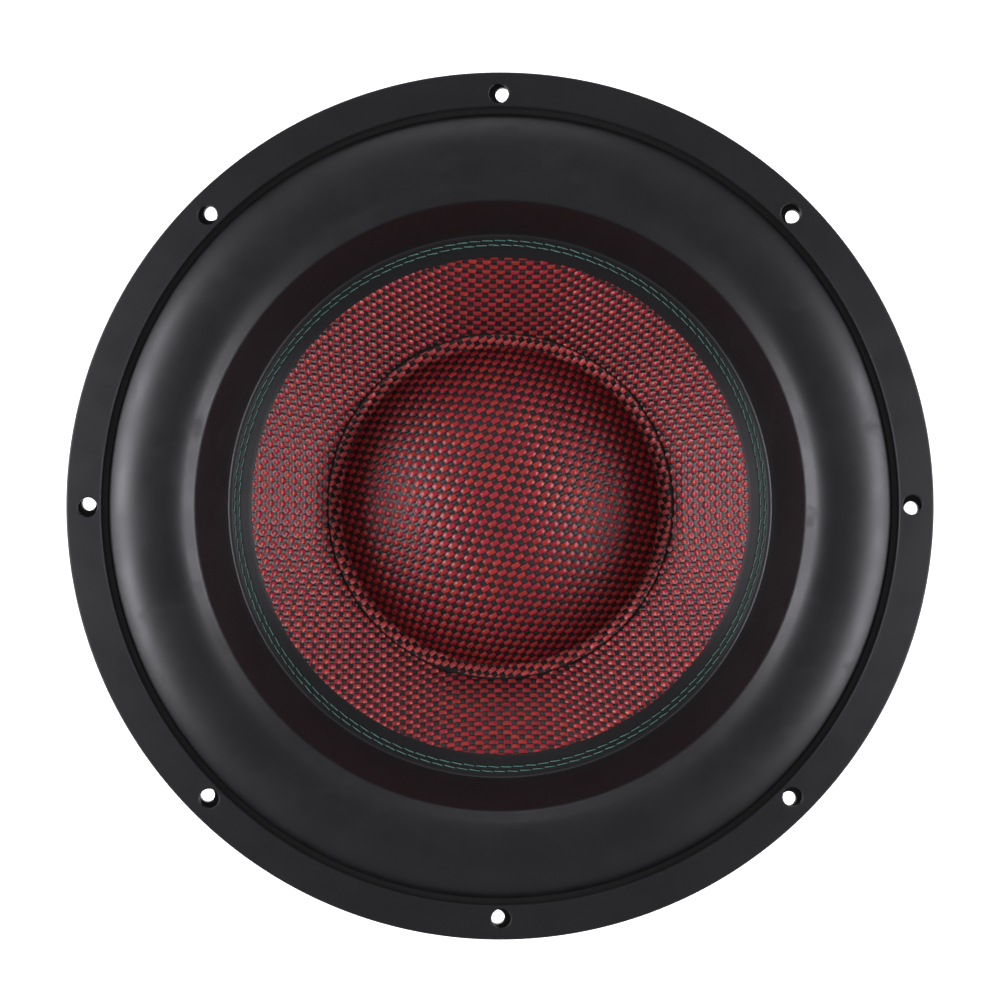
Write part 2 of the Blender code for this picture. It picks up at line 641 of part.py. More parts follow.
def button_mesh():
    """A cap on a stem whose own wire hole meets the sleeve's when the cap is pushed in."""
    stem_end = POST_FLOOR + SPRING_LENGTH + 0.5
    cap_bottom = POST_LENGTH + BUTTON_TRAVEL + 0.5
    cap_top = cap_bottom + BUTTON_HEIGHT
    outline = [(0, stem_end), (STEM_RADIUS, stem_end), (STEM_RADIUS, cap_bottom),
               (BUTTON_RADIUS, cap_bottom), (BUTTON_RADIUS, cap_top - 1), (BUTTON_RADIUS - 1, cap_top),
               (0, cap_top)]
    button = add_object("button", turned_mesh("button", outline, 12))
    hole = bmesh.new()
    level = POST_LENGTH - 4.5 + BUTTON_TRAVEL
    add_cylinder(hole, WIRE_HOLE_RADIUS, (-5, 0, level), (5, 0, level), 8)
    return applied_mesh(button, boolean(button, hole, "DIFFERENCE"))


def spring_mesh():
    turns = 3
    steps = 8
    wire = 0.3
    low = POST_FLOOR + 0.2 + wire
    pitch = (SPRING_LENGTH - 2 * wire) / turns
    path = []
    for i in range(turns * steps + 1):
        path.append(on_circle(2.5, 360 * i / steps, low + pitch * i / steps))
    return tube_mesh("spring", path, wire, 4)


def base_mesh():
    """The terminal's moulded plate, its thickness along +X, with a screw hole in the middle."""
    shape = bmesh.new()
    plate = rounded_polygon([(-23, -9), (23, -9), (23, 9), (-23, 9)], 3.0)
    add_prism(shape, plate, (0, BASE_THICKNESS), 0)
    base = add_object("base", finish_mesh("base", shape))
    hole = bmesh.new()
    add_cylinder(hole, SCREW_SHANK_RADIUS + GAP, (-1, 0, 0), (BASE_THICKNESS + 1, 0, 0), 12)
    return applied_mesh(base, boolean(base, hole, "DIFFERENCE"))


def screw_mesh():
    seat = BASE_THICKNESS + GAP
    outline = [(0, -5.5), (SCREW_SHANK_RADIUS, -5.5), (SCREW_SHANK_RADIUS, seat), (3.4, seat),
               (3.4, seat + 1.2), (2.4, seat + 2.2), (0, seat + 2.2)]
    return turned_mesh("screw", outline, 12)


def build_terminals(surfaces):
    """Two push terminals, one for each winding, on opposite sides of the basket."""
    meshes = {"base": base_mesh(), "post": post_mesh(), "button": button_mesh(),
              "spring": spring_mesh(), "screw": screw_mesh()}
    away = (0, math.radians(90), 0)
    for side, turn in (("right", 0), ("left", 180)):
        mount = bpy.data.objects.new(f"terminal_{side}", None)
        bpy.context.scene.collection.objects.link(mount)
        mount.rotation_euler = (0, 0, math.radians(turn))
        seat = PAD_OUTER + GAP
        post_seat = seat + BASE_THICKNESS + GAP
        placed = [(f"terminal_base_{side}", "base", "terminal_nylon", (seat, 0), None),
                  (f"terminal_screw_{side}", "screw", "bolt_black", (seat, 0), away)]
        for colour, across in (("red", POST_SPREAD), ("black", -POST_SPREAD)):
            spot = (post_seat, across)
            placed += [(f"terminal_post_{side}_{colour}", "post", "terminal_nickel", spot, away),
                       (f"terminal_button_{side}_{colour}", "button", f"button_{colour}", spot, away),
                       (f"terminal_spring_{side}_{colour}", "spring", "spring_steel", spot, away)]
        for name, shape, surface, (x, y), turned_to in placed:
            piece = add_object(name, meshes[shape].copy(), surfaces[surface])
            piece.parent = mount
            piece.location = Vector((x, y, TERMINAL_HEIGHT)) * MM
            if turned_to is not None:
                piece.rotation_euler = turned_to


def build_all():
    clear_scene()
    surfaces = make_materials()
    build_yoke(surfaces)
    build_vent_screen(surfaces)
    build_magnets(surfaces)
    build_top_plate(surfaces)
    build_shorting_ring(surfaces)
    build_boot(surfaces)
    build_motor_bolts(surfaces)
    build_basket(surfaces)
    build_trim_ring(surfaces)
    build_surround(surfaces)
    build_stitches(surfaces)
    build_spiders(surfaces)
    build_coil(surfaces)
    build_cone(surfaces)
    build_dust_cap(surfaces)
    build_leads(surfaces)
    build_terminals(surfaces)


build_all()
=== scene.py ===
"""Looks for the 12-inch car subwoofer driver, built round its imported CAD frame.

Lengths are in millimetres up to the point where a mesh or a node needs metres. The driver
stands on its back plate, its cone faces +Z and its centre line is the Z axis."""

import math

import bmesh
import bpy
import numpy as np
from mathutils import Matrix, Vector


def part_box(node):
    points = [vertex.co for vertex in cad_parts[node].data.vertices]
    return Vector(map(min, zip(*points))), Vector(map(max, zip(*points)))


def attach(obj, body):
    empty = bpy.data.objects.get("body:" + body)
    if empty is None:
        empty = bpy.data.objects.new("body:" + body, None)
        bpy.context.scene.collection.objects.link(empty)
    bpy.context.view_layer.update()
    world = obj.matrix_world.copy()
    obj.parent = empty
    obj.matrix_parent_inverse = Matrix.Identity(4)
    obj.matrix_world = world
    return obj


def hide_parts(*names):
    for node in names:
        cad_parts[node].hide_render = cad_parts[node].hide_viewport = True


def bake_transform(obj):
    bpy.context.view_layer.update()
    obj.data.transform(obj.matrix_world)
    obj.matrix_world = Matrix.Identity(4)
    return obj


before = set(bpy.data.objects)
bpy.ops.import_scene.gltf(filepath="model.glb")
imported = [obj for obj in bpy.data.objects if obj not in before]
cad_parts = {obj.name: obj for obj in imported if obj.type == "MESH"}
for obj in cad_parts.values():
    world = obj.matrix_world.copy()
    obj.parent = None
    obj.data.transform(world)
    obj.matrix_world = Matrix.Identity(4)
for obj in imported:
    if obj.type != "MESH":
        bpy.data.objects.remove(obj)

MM = 0.001
GAP = 0.3                        # clearance that the CAD leaves between touching pieces

# Woven fabric. A pitch is the distance from one yarn to the next.
CONE_PITCHES = (2.75, 2.265)     # between grey yarns, between red yarns
CAP_PITCHES = (2.89, 2.30)
CAP_WEAVE_TURN = math.radians(29)
CONE_NET_START = (-8.5, -12.9)   # where the fabric's first two yarns cross on the former
CRIMP = 0.36                     # how far a yarn rises and falls about its middle
YARN_HEIGHT = 0.36
YARN_WIDTH = 0.94                # share of its pitch that a yarn fills
RED_PROUD = 0.34                 # how much higher the red yarns lie than the grey ones

# Cone and dome
CONE_TILT = math.radians(40.5)
CONE_RADIUS = 94.7               # where the straight side meets the flat rim
CONE_FORMER_RADIUS = 24.5        # flat disc that the fabric was draped from
CONE_FORMER_SOFTNESS = 1.5
CAP_SPHERE_RADIUS = 82.6
CAP_RIM_BORE = 61.6
CAP_RIM_SLOPE = 3.6 / 4.6        # the rim rises outward, towards the cone's own slope

# Roll
ROLL_OUTER_RADIUS = 147.5
ROLL_THICKNESS = 1.6
ROLL_EDGE_TILT = -42.0           # degrees; the face rises towards the centre
ROLL_CHAIN = (("arc", 29.9, 0), ("arc", 16.6, 34), ("line", 3.1, 34), ("arc", 5.0, 58),
              ("line", 20.3, 58), ("arc", -1.5, 0))
LIP_THICKNESS = 1.5              # at the lip's inner edge
LIP_SLOPE = 0.287                # how steeply the stitched lip rises outward
STITCHES = 132
STITCH_SHARE = 0.80              # share of the pitch that shows as thread
THREAD_RADIUS = 0.19

# Trim ring and basket
RING_LIP_RADIUS = 0.9
BOLT_COUNT = 8
BOLT_CIRCLE_RADIUS = 155.0
RING_HOLE_RADIUS = 3.65
RING_HOLE_TURN = 0.15            # degrees
FLANGE_HOLE_RADIUS = 2.85
FLANGE_HOLE_TURN = -0.4
MOTOR_BOLT_CIRCLE_RADIUS = 77.0
WALL_RADIUS = 104.5
WALL_THICKNESS = 4.0
FLARE_BOTTOM = 126.0
FLARE_TOP = 179.0
BODY_RADIUS = 145.0
FLANGE_BORE = 141.5
FLANGE_THICKNESS = 6.0
SHELF_BORE = 86.0
SPOKE_COUNT = 6

# Terminals
PAD_HALF_WIDTH = 24.0
PAD_HALF_HEIGHT = 10.0
POST_RADIUS = 5.0
POST_BORE = 3.4
POST_FLOOR = 1.6
WIRE_HOLE_RADIUS = 1.7
STEM_RADIUS = 3.1
BUTTON_TRAVEL = 3.5

# Studio
SOFTBOXES = (("softbox_left", 178, 65.5, (1350, 370), 25.5),   # turn, tilt, size, watts
             ("softbox_right", 356, 67.5, (1350, 370), 22.5),
             ("softbox_top", 95, 72, (900, 370), 2.6))
LIGHT_TINT = (0.99, 0.975, 1.05)
VIEW_DISTANCE = 1650.0
RIM_SHARE = 0.868                # how much of the picture's width the trim ring fills
PICTURE_DROP = 0.006             # how far below the picture's middle the driver sits


# ---------------------------------------------------------------- the frame's measurements

def low(node):
    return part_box(node)[0].z / MM


def high(node):
    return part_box(node)[1].z / MM


def radii(node):
    """Smallest and largest distance of a CAD node's points from the centre line."""
    distances = [math.hypot(v.co.x, v.co.y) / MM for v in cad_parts[node].data.vertices]
    return min(distances), max(distances)


def middle(node):
    corner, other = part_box(node)
    return (corner + other) / 2 / MM


# ---------------------------------------------------------------- meshes

def add_object(name, mesh, surface, body=None, stands_for=()):
    """Links a mesh, gives it its surface and, if it is a piece, its place in the frame."""
    made = bpy.data.objects.new(name, mesh)
    bpy.context.scene.collection.objects.link(made)
    mesh.materials.clear()
    mesh.materials.append(surface)
    if body is not None:
        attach(made, body)
    if stands_for:
        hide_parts(*stands_for)
    return made


def new_mesh(name, points, faces, crease=38):
    """A smooth-shaded mesh from points in millimetres, sharp where it turns by more than crease."""
    mesh = bpy.data.meshes.new(name)
    mesh.from_pydata((np.asarray(points) * MM).tolist(), [], faces)
    mesh.shade_smooth()
    if crease is not None:
        mesh.set_sharp_from_angle(angle=math.radians(crease))
    return mesh


def rounded(corners, steps=4):
    """An outline of (radius, height, fillet) corners with each fillet drawn as an arc."""
    outline = []
    count = len(corners)
    for i, (x, y, fillet) in enumerate(corners):
        here = Vector((x, y))
        if fillet == 0:
            outline.append((x, y))
            continue
        before = (Vector(corners[i - 1][:2]) - here).normalized()
        after = (Vector(corners[(i + 1) % count][:2]) - here).normalized()
        half = before.angle(after) / 2
        centre = here + (before + after).normalized() * fillet / math.sin(half)
        start = here + before * fillet / math.tan(half) - centre
        end = here + after * fillet / math.tan(half) - centre
        sweep = start.angle(end)
        for step in range(steps + 1):
            share = step / steps
            spoke = start * math.sin((1 - share) * sweep) + end * math.sin(share * sweep)
            outline.append(tuple(centre + spoke / math.sin(sweep)))
    return outline


def arc(centre, radius, start, end, steps):
    """Points on a circle from one angle to another, in degrees."""
    angles = np.radians(np.linspace(start, end, steps + 1))
    return [(centre[0] + radius * math.cos(a), centre[1] + radius * math.sin(a)) for a in angles]


def signed_area(outline):
    flat = np.asarray(outline)
    following = np.roll(flat, -1, axis=0)
    return float(np.sum(flat[:, 0] * following[:, 1] - following[:, 0] * flat[:, 1])) / 2


def lathe_mesh(name, outline, segments, crease=38):
    """Turns a closed outline of (radius, height) about the Z axis. The UV map is (turn, length)
    in millimetres: distance round the outline's mean radius, and distance along the outline."""
    outline = np.array(outline if signed_area(outline) > 0 else outline[::-1])
    count = len(outline)
    turns = np.arange(segments) * math.tau / segments
    points = np.empty((segments, count, 3))
    points[..., 0] = np.outer(np.cos(turns), outline[:, 0])
    points[..., 1] = np.outer(np.sin(turns), outline[:, 0])
    points[..., 2] = outline[:, 1]
    s, i = np.meshgrid(np.arange(segments), np.arange(count), indexing="ij")
    s_next = (s + 1) % segments
    i_next = (i + 1) % count
    quads = np.stack([s * count + i, s_next * count + i, s_next * count + i_next,
                      s * count + i_next], axis=-1).reshape(-1, 4)
    mesh = new_mesh(name, points.reshape(-1, 3), quads.tolist(), None)
    lengths = np.concatenate([[0], np.cumsum(np.linalg.norm(
        np.diff(np.vstack([outline, outline[:1]]), axis=0), axis=1))])
    around = math.tau * outline[:, 0].mean() / segments
    uv = np.stack([np.stack([s, s + 1, s + 1, s], -1) * around,
                   np.stack([lengths[i], lengths[i], lengths[i + 1], lengths[i + 1]], -1)], -1)
    mesh.uv_layers.new(name="turn").uv.foreach_set("vector", uv.astype(np.float32).ravel())
    if (outline[:, 0] < GAP / 10).any():
        weld(mesh)
    if crease is not None:
        mesh.set_sharp_from_angle(angle=math.radians(crease))
    return mesh


def weld(mesh, distance=1e-7):
    shape = bmesh.new()
    shape.from_mesh(mesh)
    bmesh.ops.remove_doubles(shape, verts=shape.verts, dist=distance)
    shape.to_mesh(mesh)
    shape.free()


def on_circle(radius, degrees, height=0.0):
    angle = math.radians(degrees)
    return (radius * math.cos(angle), radius * math.sin(angle), height)


def tube_mesh(name, path, radius, sides, swell=None):
    """A capped tube along points. Its UV map is (round, along) in millimetres."""
    path = np.asarray(path, float)
    radius = np.full(len(path), radius) if swell is None else radius * np.asarray(swell)
    along = np.gradient(path, axis=0)
    along /= np.linalg.norm(along, axis=1)[:, None]
    side = np.cross(along[0], (0.13, 0.31, 0.94))
    angles = np.arange(sides) * math.tau / sides
    points = []
    for here, direction, size in zip(path, along, radius):
        side = side - direction * (side @ direction)
        side /= np.linalg.norm(side)
        other = np.cross(direction, side)
        points.append(here + size * (np.outer(np.cos(angles), side) + np.outer(np.sin(angles), other)))
    points = np.concatenate(points)
    faces = []
    uv = []
    lengths = np.concatenate([[0], np.cumsum(np.linalg.norm(np.diff(path, axis=0), axis=1))])
    round_step = math.tau * radius.mean() / sides
    for ring in range(len(path) - 1):
        for k in range(sides):
            after = (k + 1) % sides
            base = ring * sides
            faces.append((base + k, base + after, base + sides + after, base + sides + k))
            u0, u1 = k * round_step, (k + 1) * round_step
            uv += [(u0, lengths[ring]), (u1, lengths[ring]), (u1, lengths[ring + 1]), (u0, lengths[ring + 1])]
    faces.append(tuple(range(sides))[::-1])
    faces.append(tuple(range((len(path) - 1) * sides, len(path) * sides)))
    uv += [(0, 0)] * (2 * sides)
    mesh = new_mesh(name, points, faces, 60)
    mesh.uv_layers.new(name="turn").uv.foreach_set("vector", np.array(uv, np.float32).ravel())
    return mesh


def join(name, meshes):
    """One mesh from several, keeping their UV maps."""
    shape = bmesh.new()
    for mesh in meshes:
        shape.from_mesh(mesh)
    made = bpy.data.meshes.new(name)
    shape.to_mesh(made)
    shape.free()
    return made


def add_cylinder(shape, radius, start, end, segments=32, end_radius=None):
    along = Vector(end) - Vector(start)
    turn = along.to_track_quat("Z", "Y").to_matrix().to_4x4()
    centre = (Vector(start) + Vector(end)) / 2 * MM
    bmesh.ops.create_cone(shape, cap_ends=True, segments=segments, radius1=radius * MM,
                          radius2=(end_radius or radius) * MM, depth=along.length * MM,
                          matrix=Matrix.Translation(centre) @ turn)


def add_prism(shape, outline, along, turn):
    """Adds an outline of (across, up) points, drawn out over a span of X and turned about Z."""
    rotation = Matrix.Rotation(turn, 4, "Z")
    ends = [[shape.verts.new(rotation @ Vector((x, y, z)) * MM) for y, z in outline] for x in along]
    for i in range(len(outline)):
        j = (i + 1) % len(outline)
        shape.faces.new((ends[0][i], ends[0][j], ends[1][j], ends[1][i]))
    shape.faces.new(ends[0][::-1])
    shape.faces.new(ends[1])


def boolean_mesh(mesh, operation, tool_shape):
    """The mesh after an exact Boolean with a bmesh, which is used up."""
    bmesh.ops.recalc_face_normals(tool_shape, faces=tool_shape.faces)
    tool_mesh = bpy.data.meshes.new("tool")
    tool_shape.to_mesh(tool_mesh)
    tool_shape.free()
    body = bpy.data.objects.new("work", mesh)
    tool = bpy.data.objects.new("tool", tool_mesh)
    for used in (body, tool):
        bpy.context.scene.collection.objects.link(used)
    step = body.modifiers.new("step", "BOOLEAN")
    step.operation = operation
    step.solver = "EXACT"
    step.object = tool
    bpy.context.view_layer.update()
    made = bpy.data.meshes.new_from_object(body.evaluated_get(bpy.context.evaluated_depsgraph_get()))
    for used in (body, tool):
        bpy.data.objects.remove(used)
    made.shade_smooth()
    made.set_sharp_from_angle(angle=math.radians(30))
    return made


# ---------------------------------------------------------------- shader nodes

class Surface:
    """One material's node tree. Every method returns an output socket, so that nodes read as
    expressions, and the Principled shader is fed by set()."""

    def __init__(self, name):
        self.material = bpy.data.materials.new(name)
        self.material.use_nodes = True
        self.tree = self.material.node_tree
        self.shader = self.tree.nodes["Principled BSDF"]

    def feed(self, socket, value):
        if isinstance(value, bpy.types.NodeSocket):
            self.tree.links.new(value, socket)
        elif socket.type == "RGBA":
            socket.default_value = (*value, 1.0)
        else:
            socket.default_value = value

    def node(self, kind, inputs, **settings):
        made = self.tree.nodes.new(kind)
        for key, value in settings.items():
            setattr(made, key, value)
        for key, value in inputs.items():
            self.feed(made.inputs[key], value)
        return made

    def set(self, **values):
        for key, value in values.items():
            self.feed(self.shader.inputs[key.replace("_", " ")], value)
        return self

    def math(self, operation, *values, clamp=False):
        inputs = dict(enumerate(values))
        return self.node("ShaderNodeMath", inputs, operation=operation, use_clamp=clamp).outputs[0]

    def remap(self, value, start, end, first=0.0, last=1.0, smooth=True):
        kind = "SMOOTHSTEP" if smooth else "LINEAR"
        inputs = {0: value, 1: start, 2: end, 3: first, 4: last}
        return self.node("ShaderNodeMapRange", inputs, interpolation_type=kind).outputs[0]

    def mix(self, share, first, last):
        inputs = {0: share, 6: first, 7: last}
        return self.node("ShaderNodeMix", inputs, data_type="RGBA").outputs[2]

    def mix_value(self, share, first, last):
        inputs = {0: share, 2: first, 3: last}
        return self.node("ShaderNodeMix", inputs, data_type="FLOAT").outputs[0]

    def multiply(self, colour, factor):
        """A colour times a number."""
        inputs = {0: colour, "Scale": factor}
        return self.node("ShaderNodeVectorMath", inputs, operation="SCALE").outputs[0]

    def place(self, scale=(1, 1, 1)):
        """Object coordinates in millimetres, stretched by scale."""
        source = self.node("ShaderNodeTexCoord", {}).outputs["Object"]
        factor = [k / MM for k in scale]
        return self.node("ShaderNodeVectorMath", {0: source, 1: factor}, operation="MULTIPLY").outputs[0]

    def uv(self, scale=(1, 1, 1)):
        source = self.node("ShaderNodeUVMap", {}).outputs[0]
        return self.node("ShaderNodeVectorMath", {0: source, 1: scale}, operation="MULTIPLY").outputs[0]

    def split(self, vector):
        return self.node("ShaderNodeSeparateXYZ", {0: vector}).outputs

    def noise(self, vector, size, detail=2.0):
        """Soft noise about 0.5 with features of about the given size."""
        inputs = {"Vector": vector, "Scale": 1.0 / size, "Detail": detail}
        return self.node("ShaderNodeTexNoise", inputs).outputs["Fac"]

    def cells(self, vector, size, feature="F1"):
        inputs = {"Vector": vector, "Scale": 1.0 / size}
        return self.node("ShaderNodeTexVoronoi", inputs, feature=feature).outputs["Distance"]

    def random(self, vector):
        return self.node("ShaderNodeTexWhiteNoise", {"Vector": vector}).outputs["Value"]

    def pack(self, x, y, z=0.0):
        return self.node("ShaderNodeCombineXYZ", {0: x, 1: y, 2: z}).outputs[0]

    def bump(self, height, depth, normal=None):
        """Turns a height of 0 to 1 into relief of the given depth in millimetres."""
        inputs = {"Height": height, "Distance": depth * MM}
        if normal is not None:
            inputs["Normal"] = normal
        return self.node("ShaderNodeBump", inputs).outputs[0]

    def soft_edges(self, radius):
        """A normal that rounds every edge by the given radius."""
        return self.node("ShaderNodeBevel", {"Radius": radius * MM}, samples=6).outputs[0]

    def edge_wear(self, radius, patch_size):
        """Near 1 along the edges, broken up into patches, and 0 elsewhere."""
        bevelled = self.soft_edges(radius)
        true = self.node("ShaderNodeNewGeometry", {}).outputs["Normal"]
        facing = self.node("ShaderNodeVectorMath", {0: bevelled, 1: true}, operation="DOT_PRODUCT")
        edge = self.remap(facing.outputs["Value"], 0.995, 0.90)
        patches = self.remap(self.noise(self.place(), patch_size, 4.0), 0.42, 0.66)
        return self.math("MULTIPLY", edge, patches)


def coated_metal(name, colour, roughness, grain=0.35, relief=0.03, wear=0.5, bevel=0.5, turned=0.0):
    """Satin coating on metal: fine grain, soft colour drift, and thinner coat along the edges.
    A turned piece keeps its circular tool marks, which stretch every highlight across them."""
    s = Surface(name)
    place = s.place()
    drift = s.remap(s.noise(place, 60.0, 3.0), 0.3, 0.7, 0.88, 1.12)
    speck = s.remap(s.noise(place, grain * 2, 2.0), 0.35, 0.65, 0.90, 1.10)
    worn = s.math("MULTIPLY", s.edge_wear(bevel, 9.0), wear)
    paint = s.multiply(s.multiply(colour, drift), speck)
    bare = [k * 5 + 0.03 for k in colour]
    fine = s.noise(place, grain, 3.0)
    rough = s.remap(s.noise(place, 14.0, 3.0), 0.3, 0.7, roughness - 0.05, roughness + 0.06)
    s.set(Base_Color=s.mix(worn, paint, bare), Roughness=rough, Metallic=0.15,
          Normal=s.bump(fine, relief, s.soft_edges(bevel)))
    if turned:
        tangent = s.node("ShaderNodeTangent", {}, direction_type="RADIAL", axis="Z").outputs[0]
        s.set(Anisotropic=turned, Anisotropic_Rotation=0.25, Tangent=tangent)
    return s.material


def rubber(name, colour, roughness, grain=0.25, relief=0.02, scuff=0.25, ridged_within=None):
    """Moulded rubber: very fine grain, faint cloudy bloom and a few dull scuffs. Within the
    given radius it carries the fine circular ridges that the mould left on the lip."""
    s = Surface(name)
    place = s.place()
    bloom = s.remap(s.noise(place, 45.0, 4.0), 0.35, 0.7)
    cloud = s.remap(s.noise(place, 5.0, 3.0), 0.3, 0.7, 0.92, 1.08)
    pale = [k * 1.5 + 0.001 for k in colour]
    scuffs = s.remap(s.noise(s.place((0.6, 1.0, 1.0)), 11.0, 6.0), 0.58, 0.72, 0.0, scuff)
    shade = s.multiply(s.mix(s.math("MULTIPLY", bloom, 0.3), colour, pale), cloud)
    rough = s.math("ADD", s.remap(s.noise(place, 20.0, 3.0), 0.3, 0.7, roughness - 0.03, roughness + 0.04),
                   s.math("MULTIPLY", scuffs, 0.3))
    fine = s.noise(place, grain, 2.0)
    facing = s.split(s.node("ShaderNodeNewGeometry", {}).outputs["Normal"])[2]
    steep = s.remap(s.math("ABSOLUTE", facing), 0.50, 0.80, 0.66, 1.0)
    rough = s.math("MULTIPLY", rough, steep)
    shine = 0.44
    if ridged_within:
        x, y, _ = s.split(place)
        radius = s.node("ShaderNodeVectorMath", {0: s.pack(x, y)}, operation="LENGTH").outputs["Value"]
        ridged = s.remap(radius, ridged_within, ridged_within + 0.8, 1.0, 0.0)
        tangent = s.node("ShaderNodeTangent", {}, direction_type="RADIAL", axis="Z").outputs[0]
        s.set(Anisotropic=s.math("MULTIPLY", ridged, 0.8), Anisotropic_Rotation=0.25, Tangent=tangent)
        rough = s.math("ADD", rough, s.math("MULTIPLY", ridged, 0.10))
        # Steep faces get a paler, neutral colour than the rest of the roll: painted light.
        wall = s.remap(steep, 0.66, 1.0, 1.0, 0.0)
        shade = s.mix(wall, shade, (0.008, 0.008, 0.0085))
        shine = s.mix_value(wall, shine, 0.36)
    s.set(Base_Color=shade, Roughness=rough, Specular_IOR_Level=shine, Normal=s.bump(fine, relief))
    return s.material


def moulded(name, colour, roughness, relief=0.02):
    """Moulded plastic: fine spark grain, slight colour drift, soft edges."""
    s = Surface(name)
    place = s.place()
    drift = s.remap(s.noise(place, 9.0, 3.0), 0.3, 0.7, 0.9, 1.1)
    worn = s.math("MULTIPLY", s.edge_wear(0.4, 3.0), 0.3)
    pale = [min(1.0, k * 1.6 + 0.02) for k in colour]
    rough = s.remap(s.noise(place, 3.0, 2.0), 0.3, 0.7, roughness - 0.05, roughness + 0.05)
    s.set(Base_Color=s.mix(worn, s.multiply(colour, drift), pale), Roughness=rough,
          Normal=s.bump(s.noise(place, 0.3, 2.0), relief, s.soft_edges(0.3)))
    return s.material


def bare_metal(name, colour, roughness, lines=0.12, relief=0.01, anisotropy=0.5):
    """Turned metal: fine tool lines round the piece, smudges, and a brighter edge."""
    s = Surface(name)
    across = s.split(s.uv())[1]
    tool = s.noise(s.pack(0.0, across), lines, 3.0)
    smudge = s.remap(s.noise(s.place(), 6.0, 4.0), 0.35, 0.7)
    rough = s.math("ADD", s.math("MULTIPLY", smudge, 0.15), roughness)
    tone = s.remap(tool, 0.3, 0.7, 0.88, 1.06)
    s.set(Base_Color=s.multiply(colour, tone), Metallic=1.0, Roughness=rough, Anisotropic=anisotropy,
          Normal=s.bump(tool, relief, s.soft_edges(0.2)))
    return s.material


def ceramic(name, colour):
    """Ground ferrite: matt dark grey with pores and coarse grinding marks."""
    s = Surface(name)
    place = s.place()
    pores = s.remap(s.cells(place, 0.9), 0.05, 0.22)
    marks = s.noise(s.place((1, 1, 6)), 2.0, 4.0)
    # The grinding marks vary the tone; the pores are darker: painted shade.
    tone = s.math("MULTIPLY", s.remap(marks, 0.3, 0.7, 0.85, 1.15), s.remap(pores, 0, 1, 0.5, 1.0))
    s.set(Base_Color=s.multiply(colour, tone), Roughness=0.72,
          Normal=s.bump(s.math("ADD", pores, marks), 0.05))
    return s.material


def woven_cloth(name, colour, pitch, relief):
    """Plain weave on a square grid in plan, as on a pressed spider."""
    s = Surface(name)
    x, y, _ = s.split(s.place())
    wave_x = s.math("SINE", s.math("MULTIPLY", x, math.tau / pitch))
    wave_y = s.math("SINE", s.math("MULTIPLY", y, math.tau / pitch))
    height = s.remap(s.math("MULTIPLY", wave_x, wave_y), -1.0, 1.0, smooth=False)
    fuzz = s.noise(s.place(), 0.2, 2.0)
    drift = s.remap(s.noise(s.place(), 12.0, 4.0), 0.3, 0.7, 0.8, 1.2)
    # Darker where the weave dips: painted shade.
    tone = s.math("MULTIPLY", drift, s.remap(height, 0, 1, 0.55, 1.1))
    s.set(Base_Color=s.multiply(colour, tone), Roughness=0.85, Sheen_Weight=0.3,
          Normal=s.bump(s.math("ADD", height, s.math("MULTIPLY", fuzz, 0.4)), relief))
    return s.material


def twisted(name, colour, pitch, slope, relief, metallic=0.0, roughness=0.6, both_ways=False):
    """Thread or braid: diagonal strands from the tube's (round, along) UV map."""
    s = Surface(name)
    around, along, _ = s.split(s.uv())
    height = None
    for way in (1, -1) if both_ways else (1,):
        phase = s.math("ADD", s.math("MULTIPLY", around, way * slope), along)
        wave = s.math("ABSOLUTE", s.math("SINE", s.math("MULTIPLY", phase, math.pi / pitch)))
        height = wave if height is None else s.math("MAXIMUM", height, wave)
    vary = s.remap(s.noise(s.place(), 1.6, 3.0), 0.3, 0.7, 0.72, 1.28)
    # Darker in the grooves between strands: painted shade.
    tone = s.math("MULTIPLY", vary, s.remap(height, 0.1, 0.8, 0.35, 1.1))
    s.set(Base_Color=s.multiply(colour, tone), Roughness=roughness, Metallic=metallic,
          Sheen_Weight=0.0 if metallic else 0.4, Normal=s.bump(height, relief))
    return s.material


